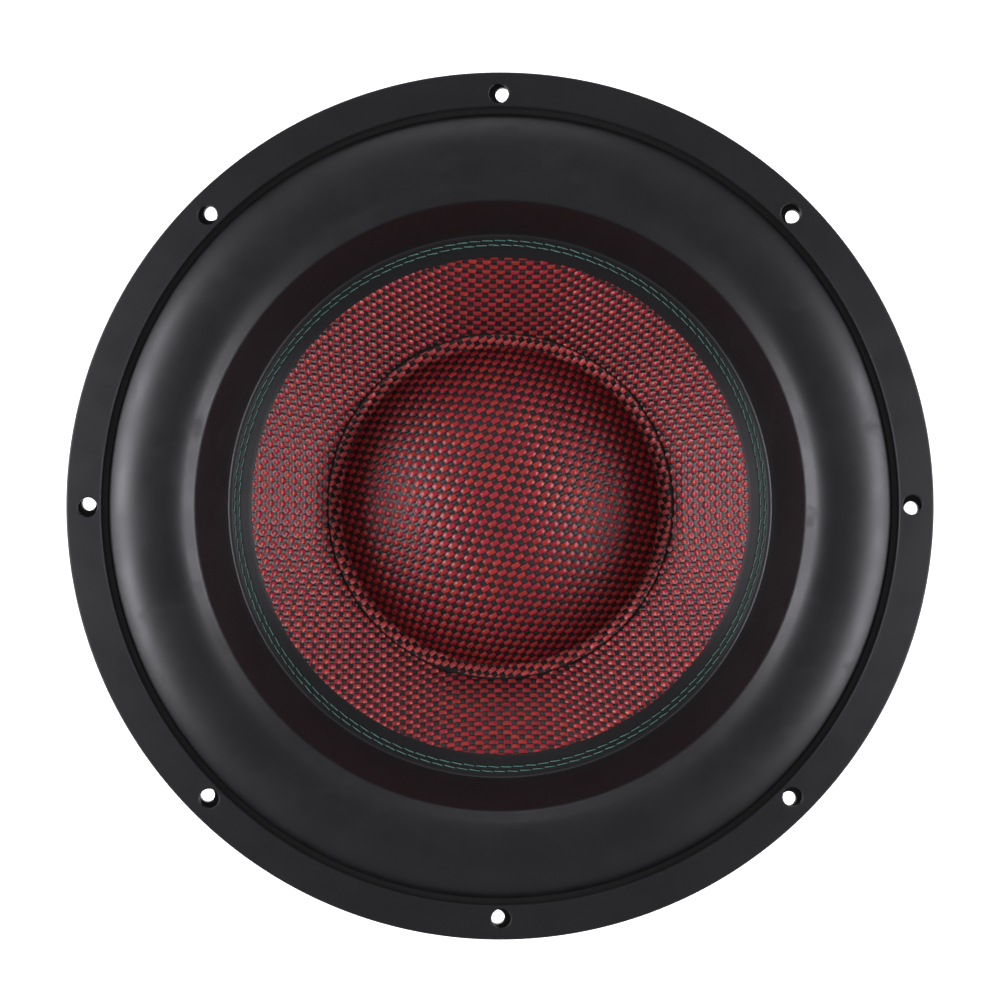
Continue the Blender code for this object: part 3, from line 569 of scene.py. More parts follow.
def hybrid_weave(name):
    """Red and grey yarns in plain weave under resin. The UV map counts yarns: U is whole at the
    middle of a grey yarn, V at the middle of a red one. It repeats the relief of the mesh, so
    that the colours change exactly where one yarn dips under the other."""
    s = Surface(name)
    u, v, _ = s.split(s.uv())
    i = s.math("ROUND", u)
    j = s.math("ROUND", v)
    du = s.math("SUBTRACT", u, i)
    dv = s.math("SUBTRACT", v, j)

    def wave(position, other):
        first = s.math("COSINE", s.math("MULTIPLY", position, math.pi))
        return s.math("MULTIPLY", first, s.math("COSINE", s.math("MULTIPLY", other, math.pi)))

    def crown(offset):
        share = s.math("POWER", s.math("MULTIPLY", s.math("ABSOLUTE", offset), 2 / YARN_WIDTH), 2.0)
        return s.math("SQRT", s.math("MAXIMUM", s.math("SUBTRACT", 1.0, share), 0.0))

    crimp = s.math("ADD", wave(u, j), wave(v, i))
    lift = s.math("MULTIPLY", s.math("SUBTRACT", crown(dv), crown(du)), YARN_HEIGHT / CRIMP)
    over = s.math("ADD", s.math("ADD", crimp, lift), RED_PROUD / CRIMP)
    red = s.remap(over, -0.12, 0.12)
    cell = s.pack(i, j)
    chance = s.random(cell)
    along_red = s.noise(s.pack(s.math("MULTIPLY", u, 0.35), s.math("MULTIPLY", v, 9.0)), 1.0, 2.0)
    along_grey = s.noise(s.pack(s.math("MULTIPLY", u, 9.0), s.math("MULTIPLY", v, 0.35), 7.0), 1.0, 2.0)
    strands = s.mix_value(red, along_grey, along_red)
    across = s.math("ABSOLUTE", s.mix_value(red, du, dv))
    # Darker towards each yarn's edges, nearly black where it meets the next: painted shade in the grooves between
    # yarns.
    groove = s.remap(across, 0.36, 0.48, 1.0, 0.07)
    red_colour = s.mix(s.remap(chance, 0.1, 0.9), (0.28, 0.013, 0.023), (0.31, 0.023, 0.018))
    grey_colour = s.mix(chance, (0.016, 0.012, 0.016), (0.012, 0.011, 0.011))
    tone = s.math("MULTIPLY", groove, s.remap(strands, 0.3, 0.7, 0.72, 1.28))
    tone = s.math("MULTIPLY", tone, s.remap(s.random(s.pack(j, i, 3.0)), 0.0, 1.0, 0.86, 1.12))
    # Darker where one yarn dips under the other: painted shade.
    tone = s.math("MULTIPLY", tone, s.remap(s.math("ABSOLUTE", over), 0.0, 1.1, 0.38, 1.0))
    # The dome's rim gets a paler red than the rest: painted light, making up for the dome shading the rim from the
    # lamps.
    x, y, _ = s.split(s.place())
    radius = s.node("ShaderNodeVectorMath", {0: s.pack(x, y)}, operation="LENGTH").outputs["Value"]
    rim = s.math("MULTIPLY", s.remap(radius, CAP_RIM_BORE - 0.6, CAP_RIM_BORE + 0.4),
                 s.remap(radius, CAP_RIM_BORE + 4.6, CAP_RIM_BORE + 5.2, 1.0, 0.0))
    red_colour = s.mix(rim, red_colour, (0.50, 0.062, 0.060))
    colour = s.multiply(s.mix(red, grey_colour, red_colour), tone)
    tangent = s.node("ShaderNodeTangent", {}, direction_type="UV_MAP").outputs[0]
    turn = s.math("MULTIPLY", red, 0.25)
    strand_relief = s.bump(strands, 0.02)
    s.set(Base_Color=colour, Metallic=s.remap(red, 0.0, 1.0, 0.0, 0.08), Roughness=0.37,
          Anisotropic=0.7, Anisotropic_Rotation=turn, Tangent=tangent, Specular_IOR_Level=0.38,
          Normal=strand_relief)
    return s.material



# ---------------------------------------------------------------- woven cone and dome

class Bowl:
    """A surface of revolution that fabric is draped on: height and slope from the radius."""

    def __init__(self, height, slope):
        self.height = height
        self.slope = slope

    def normals(self, points):
        radius = np.maximum(np.hypot(points[..., 0], points[..., 1]), 1e-9)
        slope = self.slope(radius)
        normal = np.stack([-slope * points[..., 0] / radius, -slope * points[..., 1] / radius,
                           np.ones_like(radius)], -1)
        return normal / np.linalg.norm(normal, axis=-1)[..., None]


def first_yarn(bowl, start, angle, step, count):
    """The straightest line on the bowl from a point, cut into equal steps."""
    x, y = start
    here = np.array([x, y, float(bowl.height(np.array(math.hypot(x, y))))])
    heading = np.array([math.cos(angle), math.sin(angle), 0.0])
    line = [here]
    for _ in range(count):
        there = here + heading * step
        for _ in range(4):
            there[2] = float(bowl.height(np.array(math.hypot(there[0], there[1]))))
            there = here + (there - here) * step / np.linalg.norm(there - here)
        normal = bowl.normals(there)
        heading = (there - here) - normal * ((there - here) @ normal)
        heading /= np.linalg.norm(heading)
        here = there
        line.append(here)
    return np.array(line)


def next_knots(bowl, left, below, corner, steps):
    """The points one step from left and one step from below, on the bowl: Newton's method."""
    x = left[:, 0] + below[:, 0] - corner[:, 0]
    y = left[:, 1] + below[:, 1] - corner[:, 1]
    for _ in range(4):
        radius = np.hypot(x, y) + 1e-9
        z = bowl.height(radius)
        slope_x = bowl.slope(radius) * x / radius
        slope_y = bowl.slope(radius) * y / radius
        miss = []
        for side, step in ((left, steps[0]), (below, steps[1])):
            dx, dy, dz = x - side[:, 0], y - side[:, 1], z - side[:, 2]
            miss.append((dx * dx + dy * dy + dz * dz - step * step,
                         2 * (dx + dz * slope_x), 2 * (dy + dz * slope_y)))
        (f, fx, fy), (g, gx, gy) = miss
        cross = fx * gy - fy * gx
        cross = np.where(np.abs(cross) < 1e-9, 1e-9, cross)
        x = x - np.clip((f * gy - g * fy) / cross, -1, 1)
        y = y - np.clip((g * fx - f * gx) / cross, -1, 1)
    return np.stack([x, y, bowl.height(np.hypot(x, y))], -1)


def drape(bowl, start, angle, reach, steps):
    """Points of a square-meshed net laid on the bowl. Every mesh keeps its side lengths and only
    shears, as fabric does, so the yarns turn where a real cone's yarns turn."""
    counts = [int(reach / step) for step in steps]
    net = np.zeros((2 * counts[0] + 1, 2 * counts[1] + 1, 3))
    a, b = counts
    net[a:, b] = first_yarn(bowl, start, angle, steps[0], a)
    net[a::-1, b] = first_yarn(bowl, start, angle + math.pi, steps[0], a)
    net[a, b:] = first_yarn(bowl, start, angle + math.pi / 2, steps[1], b)
    net[a, b::-1] = first_yarn(bowl, start, angle - math.pi / 2, steps[1], b)
    for way_u in (1, -1):
        for way_v in (1, -1):
            for diagonal in range(2, a + b + 1):
                i = np.arange(max(1, diagonal - b), min(a, diagonal - 1) + 1)
                row = a + way_u * i
                column = b + way_v * (diagonal - i)
                net[row, column] = next_knots(bowl, net[row - way_u, column], net[row, column - way_v],
                                              net[row - way_u, column - way_v], steps)
    return net


def yarn_relief(u, v):
    """Height of the upper yarn above the fabric's middle, u and v counted in yarns."""
    i = np.round(u)
    j = np.round(v)

    def crown(offset):
        return np.sqrt(np.maximum(1 - (2 * offset / YARN_WIDTH) ** 2, 0))

    red = CRIMP * np.cos(np.pi * u) * np.cos(np.pi * j) + YARN_HEIGHT * crown(v - j) + RED_PROUD
    grey = -CRIMP * np.cos(np.pi * v) * np.cos(np.pi * i) + YARN_HEIGHT * crown(u - i)
    return np.maximum(red, grey) - YARN_HEIGHT


def weave_mesh(name, bowl, start, angle, pitches, splits, inner, outer, skirt):
    """Woven fabric draped on a bowl as real relief, kept between two radii. Its outer edge is
    trimmed to a clean circle and turned down by the skirt."""
    steps = [pitch / split for pitch, split in zip(pitches, splits)]
    reach = outer * 1.5 + max(abs(k) for k in start)
    net = drape(bowl, start, angle, reach, steps)
    rows, columns = net.shape[:2]
    u = (np.arange(rows) - rows // 2)[:, None] / splits[0] * np.ones(columns)
    v = (np.arange(columns) - columns // 2)[None, :] / splits[1] * np.ones((rows, 1))
    radius = np.hypot(net[..., 0], net[..., 1])
    over = radius > outer
    trimmed = net.copy()
    shrink = np.where(over, outer / np.maximum(radius, outer), 1.0)
    trimmed[..., :2] = net[..., :2] * shrink[..., None]
    trimmed[..., 2] = bowl.height(np.minimum(radius, outer))
    lift = yarn_relief(u, v) * np.clip((outer - radius) / 0.4, 0, 1)
    points = trimmed + bowl.normals(trimmed) * lift[..., None]
    corner_radius = np.stack([radius[:-1, :-1], radius[1:, :-1], radius[1:, 1:], radius[:-1, 1:]])
    keep = (corner_radius.min(0) < outer - 0.01) & (corner_radius.max(0) > inner)
    keep &= corner_radius.max(0) < outer * 1.2
    i, j = np.nonzero(keep)
    quads = np.stack([i * columns + j, (i + 1) * columns + j, (i + 1) * columns + j + 1,
                      i * columns + j + 1], -1)
    used, compact = np.unique(quads, return_inverse=True)
    quads = compact.reshape(-1, 4)
    points = points.reshape(-1, 3)[used]
    counts = np.stack([u.ravel()[used], v.ravel()[used]], -1)
    points, quads, counts = add_skirt(points, quads, counts, (inner + outer) / 2, skirt)
    mesh = new_mesh(name, points, quads.tolist(), None)
    layer = mesh.uv_layers.new(name="yarns")
    layer.uv.foreach_set("vector", counts[quads.ravel()].astype(np.float32).ravel())
    return mesh


def add_skirt(points, quads, counts, from_radius, depth):
    """Turns every outer boundary edge down by depth."""
    ends = np.stack([quads, np.roll(quads, -1, axis=1)], -1).reshape(-1, 2)
    keys = np.sort(ends, axis=1)
    _, first, times = np.unique(keys, axis=0, return_index=True, return_counts=True)
    border = ends[first[times == 1]]
    border = border[np.hypot(*points[border[:, 0]].T[:2]) > from_radius]
    rim, place = np.unique(border, return_inverse=True)
    place = place.reshape(-1, 2) + len(points)
    lower = points[rim] - (0, 0, depth)
    walls = np.stack([border[:, 1], border[:, 0], place[:, 0], place[:, 1]], -1)
    return np.vstack([points, lower]), np.vstack([quads, walls]), np.vstack([counts, counts[rim]])


def cone_bowl(rim_height):
    """The cone's upper face, carried on past its neck to a small flat disc."""
    rise = math.tan(CONE_TILT)
    soft = CONE_FORMER_SOFTNESS
    base = rim_height - rise * (CONE_RADIUS - CONE_FORMER_RADIUS)

    def height(radius):
        return base + rise * soft * np.logaddexp(0, (radius - CONE_FORMER_RADIUS) / soft)

    def slope(radius):
        return rise / (1 + np.exp(-(radius - CONE_FORMER_RADIUS) / soft))

    return Bowl(height, slope)


def cap_bowl(rim_height):
    """A dome of constant curvature that turns out to a flat rim over a short bend."""
    bend = 0.5
    base = rim_height - math.sqrt(CAP_SPHERE_RADIUS ** 2 - CAP_RIM_BORE ** 2)

    def share(radius):
        return 1 / (1 + np.exp(-(radius - CAP_RIM_BORE) / bend))

    def dome(radius):
        inside = np.minimum(radius, CAP_RIM_BORE + 8 * bend)
        return base + np.sqrt(CAP_SPHERE_RADIUS ** 2 - inside ** 2)

    def height(radius):
        rim = rim_height + CAP_RIM_SLOPE * (radius - CAP_RIM_BORE)
        return dome(radius) * (1 - share(radius)) + rim * share(radius)

    def slope(radius):
        return (height(radius + 0.01) - height(radius - 0.01)) / 0.02

    return Bowl(height, slope)


def build_cone(looks):
    """The woven face, and the paper-backed shell that carries it."""
    lip_height = high("cone")
    neck, lip_radius = radii("cone")
    bowl = cone_bowl(lip_height)
    start_radius = radii("dust_cap")[1] - 7.0
    mesh = weave_mesh("cone_weave", bowl, CONE_NET_START, 0.0, CONE_PITCHES, (5, 4), start_radius,
                      CONE_RADIUS + 1.0, GAP)
    face = add_object("cone_weave", mesh, looks["woven_red"], "cone")
    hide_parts("cone")
    neck_height = float(bowl.height(np.array(neck)))
    skin = 0.45
    thick = 1.5 / math.cos(CONE_TILT)
    outline = [(neck, neck_height - skin, 0), (neck, neck_height - thick, 0.2),
               (CONE_RADIUS + 0.8, lip_height - 1.5, 3.0), (lip_radius, lip_height - 1.5, 0.4),
               (lip_radius, lip_height - 0.1, 0.4), (CONE_RADIUS + 0.5, lip_height - 0.1, 1.0),
               (CONE_RADIUS - 1.0, lip_height - skin - 1.0, 0)]
    mesh = lathe_mesh("cone_shell", rounded(outline), 256)
    add_object("cone_shell", mesh, looks["cone_back"], "cone", ("cone",))


def build_dust_cap(looks):
    """The woven dome and its shell, on a bead of black adhesive."""
    _, outer = radii("dust_cap")
    bottom = low("dust_cap")
    rim_height = bottom + 1.2
    bowl = cap_bowl(rim_height)
    mesh = weave_mesh("dust_cap_weave", bowl, (0.0, 0.0), CAP_WEAVE_TURN, CAP_PITCHES, (6, 5), -1.0,
                      outer, 1.1)
    add_object("dust_cap_weave", mesh, looks["woven_red"], "cone", ("dust_cap",))
    skin = 0.5
    centre = (0.0, rim_height - math.sqrt(CAP_SPHERE_RADIUS ** 2 - CAP_RIM_BORE ** 2))
    edge = math.degrees(math.acos(CAP_RIM_BORE / CAP_SPHERE_RADIUS))
    outline = arc(centre, CAP_SPHERE_RADIUS - skin, 90, edge, 32)
    rise = CAP_RIM_SLOPE * (outer - CAP_RIM_BORE) - 0.2
    outline += [(outer - 0.4, rim_height - skin + rise), (outer - 0.4, bottom + rise), (CAP_RIM_BORE - 1.0, bottom)]
    outline += arc(centre, CAP_SPHERE_RADIUS - 1.3, edge + 1, 90, 32)
    outline[0] = (0.0, centre[1] + CAP_SPHERE_RADIUS - skin)
    outline[-1] = (0.0, centre[1] + CAP_SPHERE_RADIUS - 1.3)
    mesh = lathe_mesh("dust_cap_shell", outline, 192)
    add_object("dust_cap_shell", mesh, looks["cone_back"], "cone", ("dust_cap",))
    build_glue(looks, outer)


def build_glue(looks, radius):
    """An uneven bead where the dome's rim sits on the cone."""
    bowl = cone_bowl(high("cone"))
    segments, sides = 360, 12
    turns = np.arange(segments) * math.tau / segments
    size = 1.05 + 0.12 * np.sin(3 * turns + 1) + 0.08 * np.sin(7 * turns + 2) + 0.05 * np.sin(19 * turns)
    angles = np.arange(sides) * math.tau / sides
    distance = radius + 0.15 + np.outer(size, np.cos(angles))
    height = float(bowl.height(np.array(radius))) + 0.35 + np.outer(size, np.sin(angles))
    points = np.stack([distance * np.cos(turns)[:, None], distance * np.sin(turns)[:, None], height], -1)
    mesh = new_mesh("dust_cap_glue", points.reshape(-1, 3), closed_rings(segments, sides), None)
    add_object("dust_cap_glue", mesh, looks["glue"], "cone")


def closed_rings(rings, sides):
    """Quads between closed loops of points, the last loop joined to the first."""
    quads = []
    for ring in range(rings):
        after = (ring + 1) % rings
        for k in range(sides):
            m = (k + 1) % sides
            quads.append((ring * sides + k, after * sides + k, after * sides + m, ring * sides + m))
    return quads


# ---------------------------------------------------------------- roll and stitching

def roll_path(steps_per_degree=0.7, line_step=1.5):
    """The roll's upper face as (radius, height, tilt), chained from arcs and straights."""
    radius, height, tilt = ROLL_OUTER_RADIUS, 0.0, ROLL_EDGE_TILT
    path = [(radius, height, tilt)]
    for kind, size, end_tilt in ROLL_CHAIN:
        turn = abs(end_tilt - tilt)
        count = math.ceil(size / line_step if kind == "line" else turn * steps_per_degree)
        before = tilt
        for step in range(1, count + 1):
            start = math.radians(tilt)
            tilt = before + (end_tilt - before) * step / count
            if kind == "line":
                radius -= size / count * math.cos(start)
                height -= size / count * math.sin(start)
            else:
                end = math.radians(tilt)
                radius -= size * (math.sin(end) - math.sin(start))
                height -= size * (math.cos(start) - math.cos(end))
            path.append((radius, height, tilt))
    return path


def stitch_grooves(radius):
    """How far each row of stitches pulls the lip down, by radius."""
    return sum(0.22 * math.exp(-((radius - row) / 0.42) ** 2) for row in stitch_radii())


def stitch_radii():
    """The middle of each stitch row, read from the CAD rows' own rings."""
    return [sum(radii(node)) / 2 for node in ("stitch_row_outer", "stitch_row_inner")]


def build_surround(looks):
    """The rubber roll with both its lips, between the basket and the cone."""
    path = roll_path()
    lip_bore, lip_reach = radii("surround")
    foot = path[-1][0]
    lift = lip_height(foot) - path[-1][1]
    lip_top = lip_height(lip_bore)
    outer_low = high("basket") + GAP
    outer_top = outer_low + LIP_THICKNESS
    upper = [(r, z + lift) for r, z, _ in path]
    lower = [(r + ROLL_THICKNESS * math.sin(math.radians(t)), z + lift - ROLL_THICKNESS * math.cos(math.radians(t)))
             for r, z, t in path]
    lower = [(r, z) for r, z in lower if r < ROLL_OUTER_RADIUS - ROLL_THICKNESS and r > foot + 1]
    lip = [(r, lip_height(r) - stitch_grooves(r)) for r in np.arange(foot - 0.25, lip_bore + 0.6, -0.25)]
    lip += arc((lip_bore + 0.5, lip_top - 0.5), 0.5, 90, 180, 4)
    outline = [(lip_reach, outer_low), (lip_reach, outer_top), (ROLL_OUTER_RADIUS + 0.1, outer_top)]
    outline += upper + lip + [(lip_bore, lip_top - LIP_THICKNESS)]
    outline += [(foot + 0.6, lip_top - LIP_THICKNESS)] + lower[::-1]
    outline += [(ROLL_OUTER_RADIUS - 1.2, outer_low)]
    mesh = lathe_mesh("surround_roll", outline, 480)
    roll = add_object("surround_roll", mesh, looks["roll_rubber"], None, ("surround",))
    radius = point_radii(mesh)
    flex_by(roll, smooth_share((ROLL_OUTER_RADIUS - 1 - radius)
                                               / (ROLL_OUTER_RADIUS - foot - 4)))


def lip_height(radius):
    """Top of the roll's inner lip: the CAD stitches stand one gap above it."""
    row = sum(radii("stitch_row_outer")) / 2
    return low("stitch_row_outer") - GAP + LIP_SLOPE * (radius - row)


def point_radii(mesh):
    points = np.empty(len(mesh.vertices) * 3, np.float32)
    mesh.vertices.foreach_get("co", points)
    points = points.reshape(-1, 3) / MM
    return np.hypot(points[:, 0], points[:, 1])


def smooth_share(share):
    share = np.clip(share, 0, 1)
    return share * share * (3 - 2 * share)


def flex_by(piece, weights):
    """Bakes a piece's placement into its mesh. The weights are not used."""
    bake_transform(piece)


def build_stitches(looks):
    """Two rows of separate stitches, each thread dipping into the lip at both its ends."""
    dip = 0.32
    for node in ("stitch_row_outer", "stitch_row_inner"):
        radius = sum(radii(node)) / 2
        middle_height = lip_height(radius) - 0.05
        shift = 0.5 if node == "stitch_row_inner" else 0.0
        stitches = []
        for k in range(STITCHES):
            sway = 0.12 * math.sin(k * 2.4 + shift * 9)
            path = []
            for share in (-0.5, -0.46, -0.36, -0.2, 0.0, 0.2, 0.36, 0.46, 0.5):
                turn = 360 * (k + shift + share * (STITCH_SHARE + 0.06)) / STITCHES
                sink = dip * 6 * max(0.0, abs(share) - 0.36) ** 1.5 * 4
                path.append(on_circle(radius + (sway + 0.25) * share, turn, middle_height + 0.06 - sink))
            swell = (0.75, 0.9, 1.0, 1.0, 1.0, 1.0, 1.0, 0.9, 0.75)
            stitches.append(tube_mesh("stitch", path, THREAD_RADIUS, 10, swell))
        mesh = join(node, stitches)
        add_object(node.replace("row", "thread"), mesh, looks["thread_green"], "cone", (node,))


# ---------------------------------------------------------------- trim ring and basket

def build_trim_ring(looks):
    """The clamping ring, its inner edge rolled over and every bolt hole eased."""
    bore, reach = radii("trim_ring")
    bottom, top = low("trim_ring"), high("trim_ring")
    recess = radii("surround")[1] + GAP
    outline = rounded([(recess, bottom, 0.2), (reach, bottom, 0.3), (reach, top, 0.8),
                       (bore, top, RING_LIP_RADIUS), (bore, bottom + 1.8, 0.3), (recess, bottom + 1.8, 0.2)], 6)
    mesh = lathe_mesh("trim_ring_plate", outline, 384)
    holes = bmesh.new()
    for k in range(BOLT_COUNT):
        turn = 360 * k / BOLT_COUNT + RING_HOLE_TURN
        spot = [on_circle(BOLT_CIRCLE_RADIUS, turn, z) for z in (bottom - 1, top + 1)]
        add_cylinder(holes, RING_HOLE_RADIUS, *spot, segments=40)
    mesh = boolean_mesh(mesh, "DIFFERENCE", holes)
    mesh = boolean_mesh(mesh, "DIFFERENCE", hole_chamfers(top))
    add_object("trim_ring_plate", mesh, looks["ring_satin_black"], "frame", ("trim_ring",))


def hole_chamfers(top, ease=0.35):
    shape = bmesh.new()
    for k in range(BOLT_COUNT):
        turn = 360 * k / BOLT_COUNT + RING_HOLE_TURN
        add_cylinder(shape, RING_HOLE_RADIUS - 0.01, on_circle(BOLT_CIRCLE_RADIUS, turn, top - ease),
                     on_circle(BOLT_CIRCLE_RADIUS, turn, top + ease), 40, RING_HOLE_RADIUS + 2 * ease)
    return shape


def basket_section():
    """Hub, wall with the spider shelf, flared body and flange, every corner cast round."""
    hub_low = low("basket")
    hub_top = hub_low + 7.0
    bore = radii("basket")[0]
    reach = radii("basket")[1]
    flange_top = high("basket")
    flange_low = flange_top - FLANGE_THICKNESS
    hub_reach = radii("top_plate")[1]
    inside = WALL_RADIUS - WALL_THICKNESS
    shelf_top = 111.7
    return [(bore, hub_low, 0.8), (hub_reach - 1, hub_low, 0), (hub_reach + 1, hub_low + 2, 1.0),
            (WALL_RADIUS - 1, 96.0, 0.8), (WALL_RADIUS, 98.0, 0.8), (WALL_RADIUS, FLARE_BOTTOM, 6.0),
            (BODY_RADIUS - 2, FLARE_TOP, 2.0), (BODY_RADIUS, FLARE_TOP + 3, 1.5), (BODY_RADIUS, flange_low, 1.5),
            (reach, flange_low, 1.0), (reach, flange_top, 0.3), (FLANGE_BORE, flange_top, 0.5),
            (FLANGE_BORE, FLARE_TOP + 3, 1.5), (FLANGE_BORE - 3, FLARE_TOP, 2.0), (inside, FLARE_BOTTOM + 1, 6.0),
            (inside, shelf_top, 1.0), (SHELF_BORE, shelf_top, 0.6), (SHELF_BORE, shelf_top - 4.5, 0.6),
            (inside - 1, shelf_top - 4.5, 1.0), (inside - 1, 100.0, 1.5), (hub_reach - 4, hub_top, 1.5),
            (bore, hub_top, 0.8)]


def basket_ribs():
    """Tapered ribs down the spokes and a raised pad behind each terminal."""
    shape = bmesh.new()
    flange_low = high("basket") - FLANGE_THICKNESS
    section = [(WALL_RADIUS - 2, 124.5), (WALL_RADIUS + 2.5, 122.5), (WALL_RADIUS + 4.5, 124.5),
               (BODY_RADIUS - 0.5, FLARE_TOP - 8), (BODY_RADIUS - 0.5, flange_low + 1),
               (BODY_RADIUS - 3, flange_low + 1), (BODY_RADIUS - 3, FLARE_TOP + 1)]
    for k in range(SPOKE_COUNT):
        turn = Matrix.Rotation(math.tau * k / SPOKE_COUNT, 4, "Z")
        rows = []
        for y, out in ((-4.6, -1.6), (-3.4, 0.0), (3.4, 0.0), (4.6, -1.6)):
            rows.append([shape.verts.new(turn @ Vector((r + out * (i in (1, 2, 3, 4)), y, z)) * MM)
                         for i, (r, z) in enumerate(section)])
        count = len(section)
        for one, other in zip(rows, rows[1:]):
            for i in range(count):
                j = (i + 1) % count
                shape.faces.new((one[i], one[j], other[j], other[i]))
        shape.faces.new(rows[0][::-1])
        shape.faces.new(rows[-1])
    pad_out = middle("terminal_base_right").x - 2.0 - GAP
    height = middle("terminal_base_right").z
    for side in (0, math.pi):
        outline = rounded([(-PAD_HALF_WIDTH, height - PAD_HALF_HEIGHT, 3), (PAD_HALF_WIDTH, height - PAD_HALF_HEIGHT, 3),
                           (PAD_HALF_WIDTH, height + PAD_HALF_HEIGHT, 3), (-PAD_HALF_WIDTH, height + PAD_HALF_HEIGHT, 3)])
        add_prism(shape, outline, (WALL_RADIUS - 3, pad_out), side)
    return shape


def basket_openings():
    """Windows between the spokes, vents below the spider shelf, and every screw hole."""
    shape = bmesh.new()
    bottom, top = low("basket"), high("basket")
    window = rounded([(-41, 129.5, 7), (41, 129.5, 7), (59, FLARE_TOP - 2, 7), (-59, FLARE_TOP - 2, 7)], 7)
    vent = rounded([(-19, 91, 3.5), (19, 91, 3.5), (21, 102.5, 3.5), (-21, 102.5, 3.5)], 6)
    for k in range(SPOKE_COUNT):
        turn = math.tau * (k + 0.5) / SPOKE_COUNT
        add_prism(shape, window, (60, 160), turn)
        add_prism(shape, vent, (70, 120), turn)
        spot = [on_circle(MOTOR_BOLT_CIRCLE_RADIUS, 360 * k / SPOKE_COUNT, z) for z in (bottom - 1, bottom + 8)]
        add_cylinder(shape, 3.3, *spot, segments=24)
    for k in range(BOLT_COUNT):
        turn = 360 * k / BOLT_COUNT + FLANGE_HOLE_TURN
        spot = [on_circle(BOLT_CIRCLE_RADIUS, turn, z) for z in (top - FLANGE_THICKNESS - 2, top + 2)]
        add_cylinder(shape, FLANGE_HOLE_RADIUS, *spot, segments=32)
    height = middle("terminal_base_right").z
    for side in (-1, 1):
        add_cylinder(shape, 1.9, (side * 98, 0, height), (side * 112, 0, height), 24)
    return shape


def build_basket(looks):
    mesh = lathe_mesh("basket_casting", rounded(basket_section(), 3), 240)
    mesh = boolean_mesh(mesh, "UNION", basket_ribs())
    mesh = boolean_mesh(mesh, "DIFFERENCE", basket_openings())
    add_object("basket_casting", mesh, looks["basket_coat"], "frame", ("basket",))


# ---------------------------------------------------------------- motor

def plain_ring(node, fillet, segments, look, body="frame", chamfers=1):
    """A rounded ring in place of a CAD ring of the same bore, reach and height."""
    bore, reach = radii(node)
    bottom, top = low(node), high(node)
    outline = rounded([(bore, bottom, fillet), (reach, bottom, fillet), (reach, top, fillet),
                       (bore, top, fillet)], chamfers + 2)
    add_object(node + "_body", lathe_mesh(node + "_body", outline, segments), look[1], body, (node,))


def build_yoke(looks):
    pole_reach = 37.0
    plate_top = 12.0
    vent, reach = 15.0, radii("motor_yoke")[1]
    top = high("motor_yoke")
    seat = 19.8
    outline = rounded([(seat, 0, 0.6), (reach, 0, 2.0), (reach, plate_top, 1.0), (pole_reach, plate_top, 0.8),
                       (pole_reach, top, 1.5), (vent, top, 3.0), (vent, 3.0, 0.3), (seat, 3.0, 0.2)], 5)
    groove = [(60.0, 0.0, 0.0), (60.6, 0.6, 0.2), (62.4, 0.6, 0.2), (63.0, 0.0, 0.0)]
    where = next(i for i, (r, z) in enumerate(outline) if r > 60 and z < 0.01)
    outline[where:where] = [(r, z) for r, z, _ in groove]
    mesh = lathe_mesh("motor_yoke_body", outline, 256)
    add_object("motor_yoke_body", mesh, looks["plate_steel"], "frame", ("motor_yoke",))


def build_top_plate(looks):
    bore, reach = radii("top_plate")
    bottom, top = low("top_plate"), high("top_plate")
    outline = rounded([(bore, bottom, 0.6), (reach, bottom, 0.8), (reach, top, 0.8), (bore, top, 0.6)])
    holes = bmesh.new()
    for k in range(SPOKE_COUNT):
        spot = [on_circle(MOTOR_BOLT_CIRCLE_RADIUS, 360 * k / SPOKE_COUNT, z) for z in (top - 10, top + 1)]
        add_cylinder(holes, 3.3, *spot, segments=24)
    mesh = boolean_mesh(lathe_mesh("top_plate_body", outline, 256), "DIFFERENCE", holes)
    add_object("top_plate_body", mesh, looks["plate_steel"], "frame", ("top_plate",))


def build_boot(looks):
    """The rubber sleeve, ribbed round its outside, gripping both plates."""
    grip, reach = radii("magnet_boot")
    bottom, top = low("magnet_boot"), high("magnet_boot")
    inner = radii("magnet_lower")[1] + GAP
    ribs = 7
    band = (top - bottom - 12.0) / ribs
    corners = [(grip, bottom, 0.4), (reach, bottom, 1.5)]
    for k in range(ribs):
        start = bottom + 6.0 + k * band
        corners += [(reach, start, 0.3), (reach - 0.9, start + 0.8, 0.3), (reach - 0.9, start + 2.2, 0.3),
                    (reach, start + 3.0, 0.3)]
    corners += [(reach, top, 1.5), (grip, top, 0.4), (grip, low("top_plate"), 0),
                (inner, low("top_plate"), 0), (inner, high("magnet_lower") - 18.3, 0),
                (grip, high("magnet_lower") - 18.3, 0)]
    mesh = lathe_mesh("magnet_boot_sleeve", rounded(corners, 3), 256)
    add_object("magnet_boot_sleeve", mesh, looks["boot_rubber"], "frame", ("magnet_boot",))


def build_vent_screen(looks):
    """The pole vent's screen, pressed from perforated sheet."""
    reach = radii("pole_vent_screen")[1]
    bottom, top = low("pole_vent_screen"), high("pole_vent_screen")
    outline = rounded([(0, bottom, 0), (reach, bottom, 0.3), (reach, top, 0.3), (0, top, 0)], 3)
    holes = bmesh.new()
    pitch, hole = 3.5, 1.25
    for row in range(-5, 6):
        for k in range(-6, 7):
            x = (k + 0.5 * (row % 2)) * pitch
            y = row * pitch * math.sqrt(3) / 2
            if math.hypot(x, y) < reach - 3.4:
                add_cylinder(holes, hole, (x, y, bottom - 1), (x, y, top + 1), 14)
    mesh = boolean_mesh(lathe_mesh("vent_screen_mesh", outline, 96), "DIFFERENCE", holes)
    add_object("vent_screen_mesh", mesh, looks["screen_steel"], "frame", ("pole_vent_screen",))


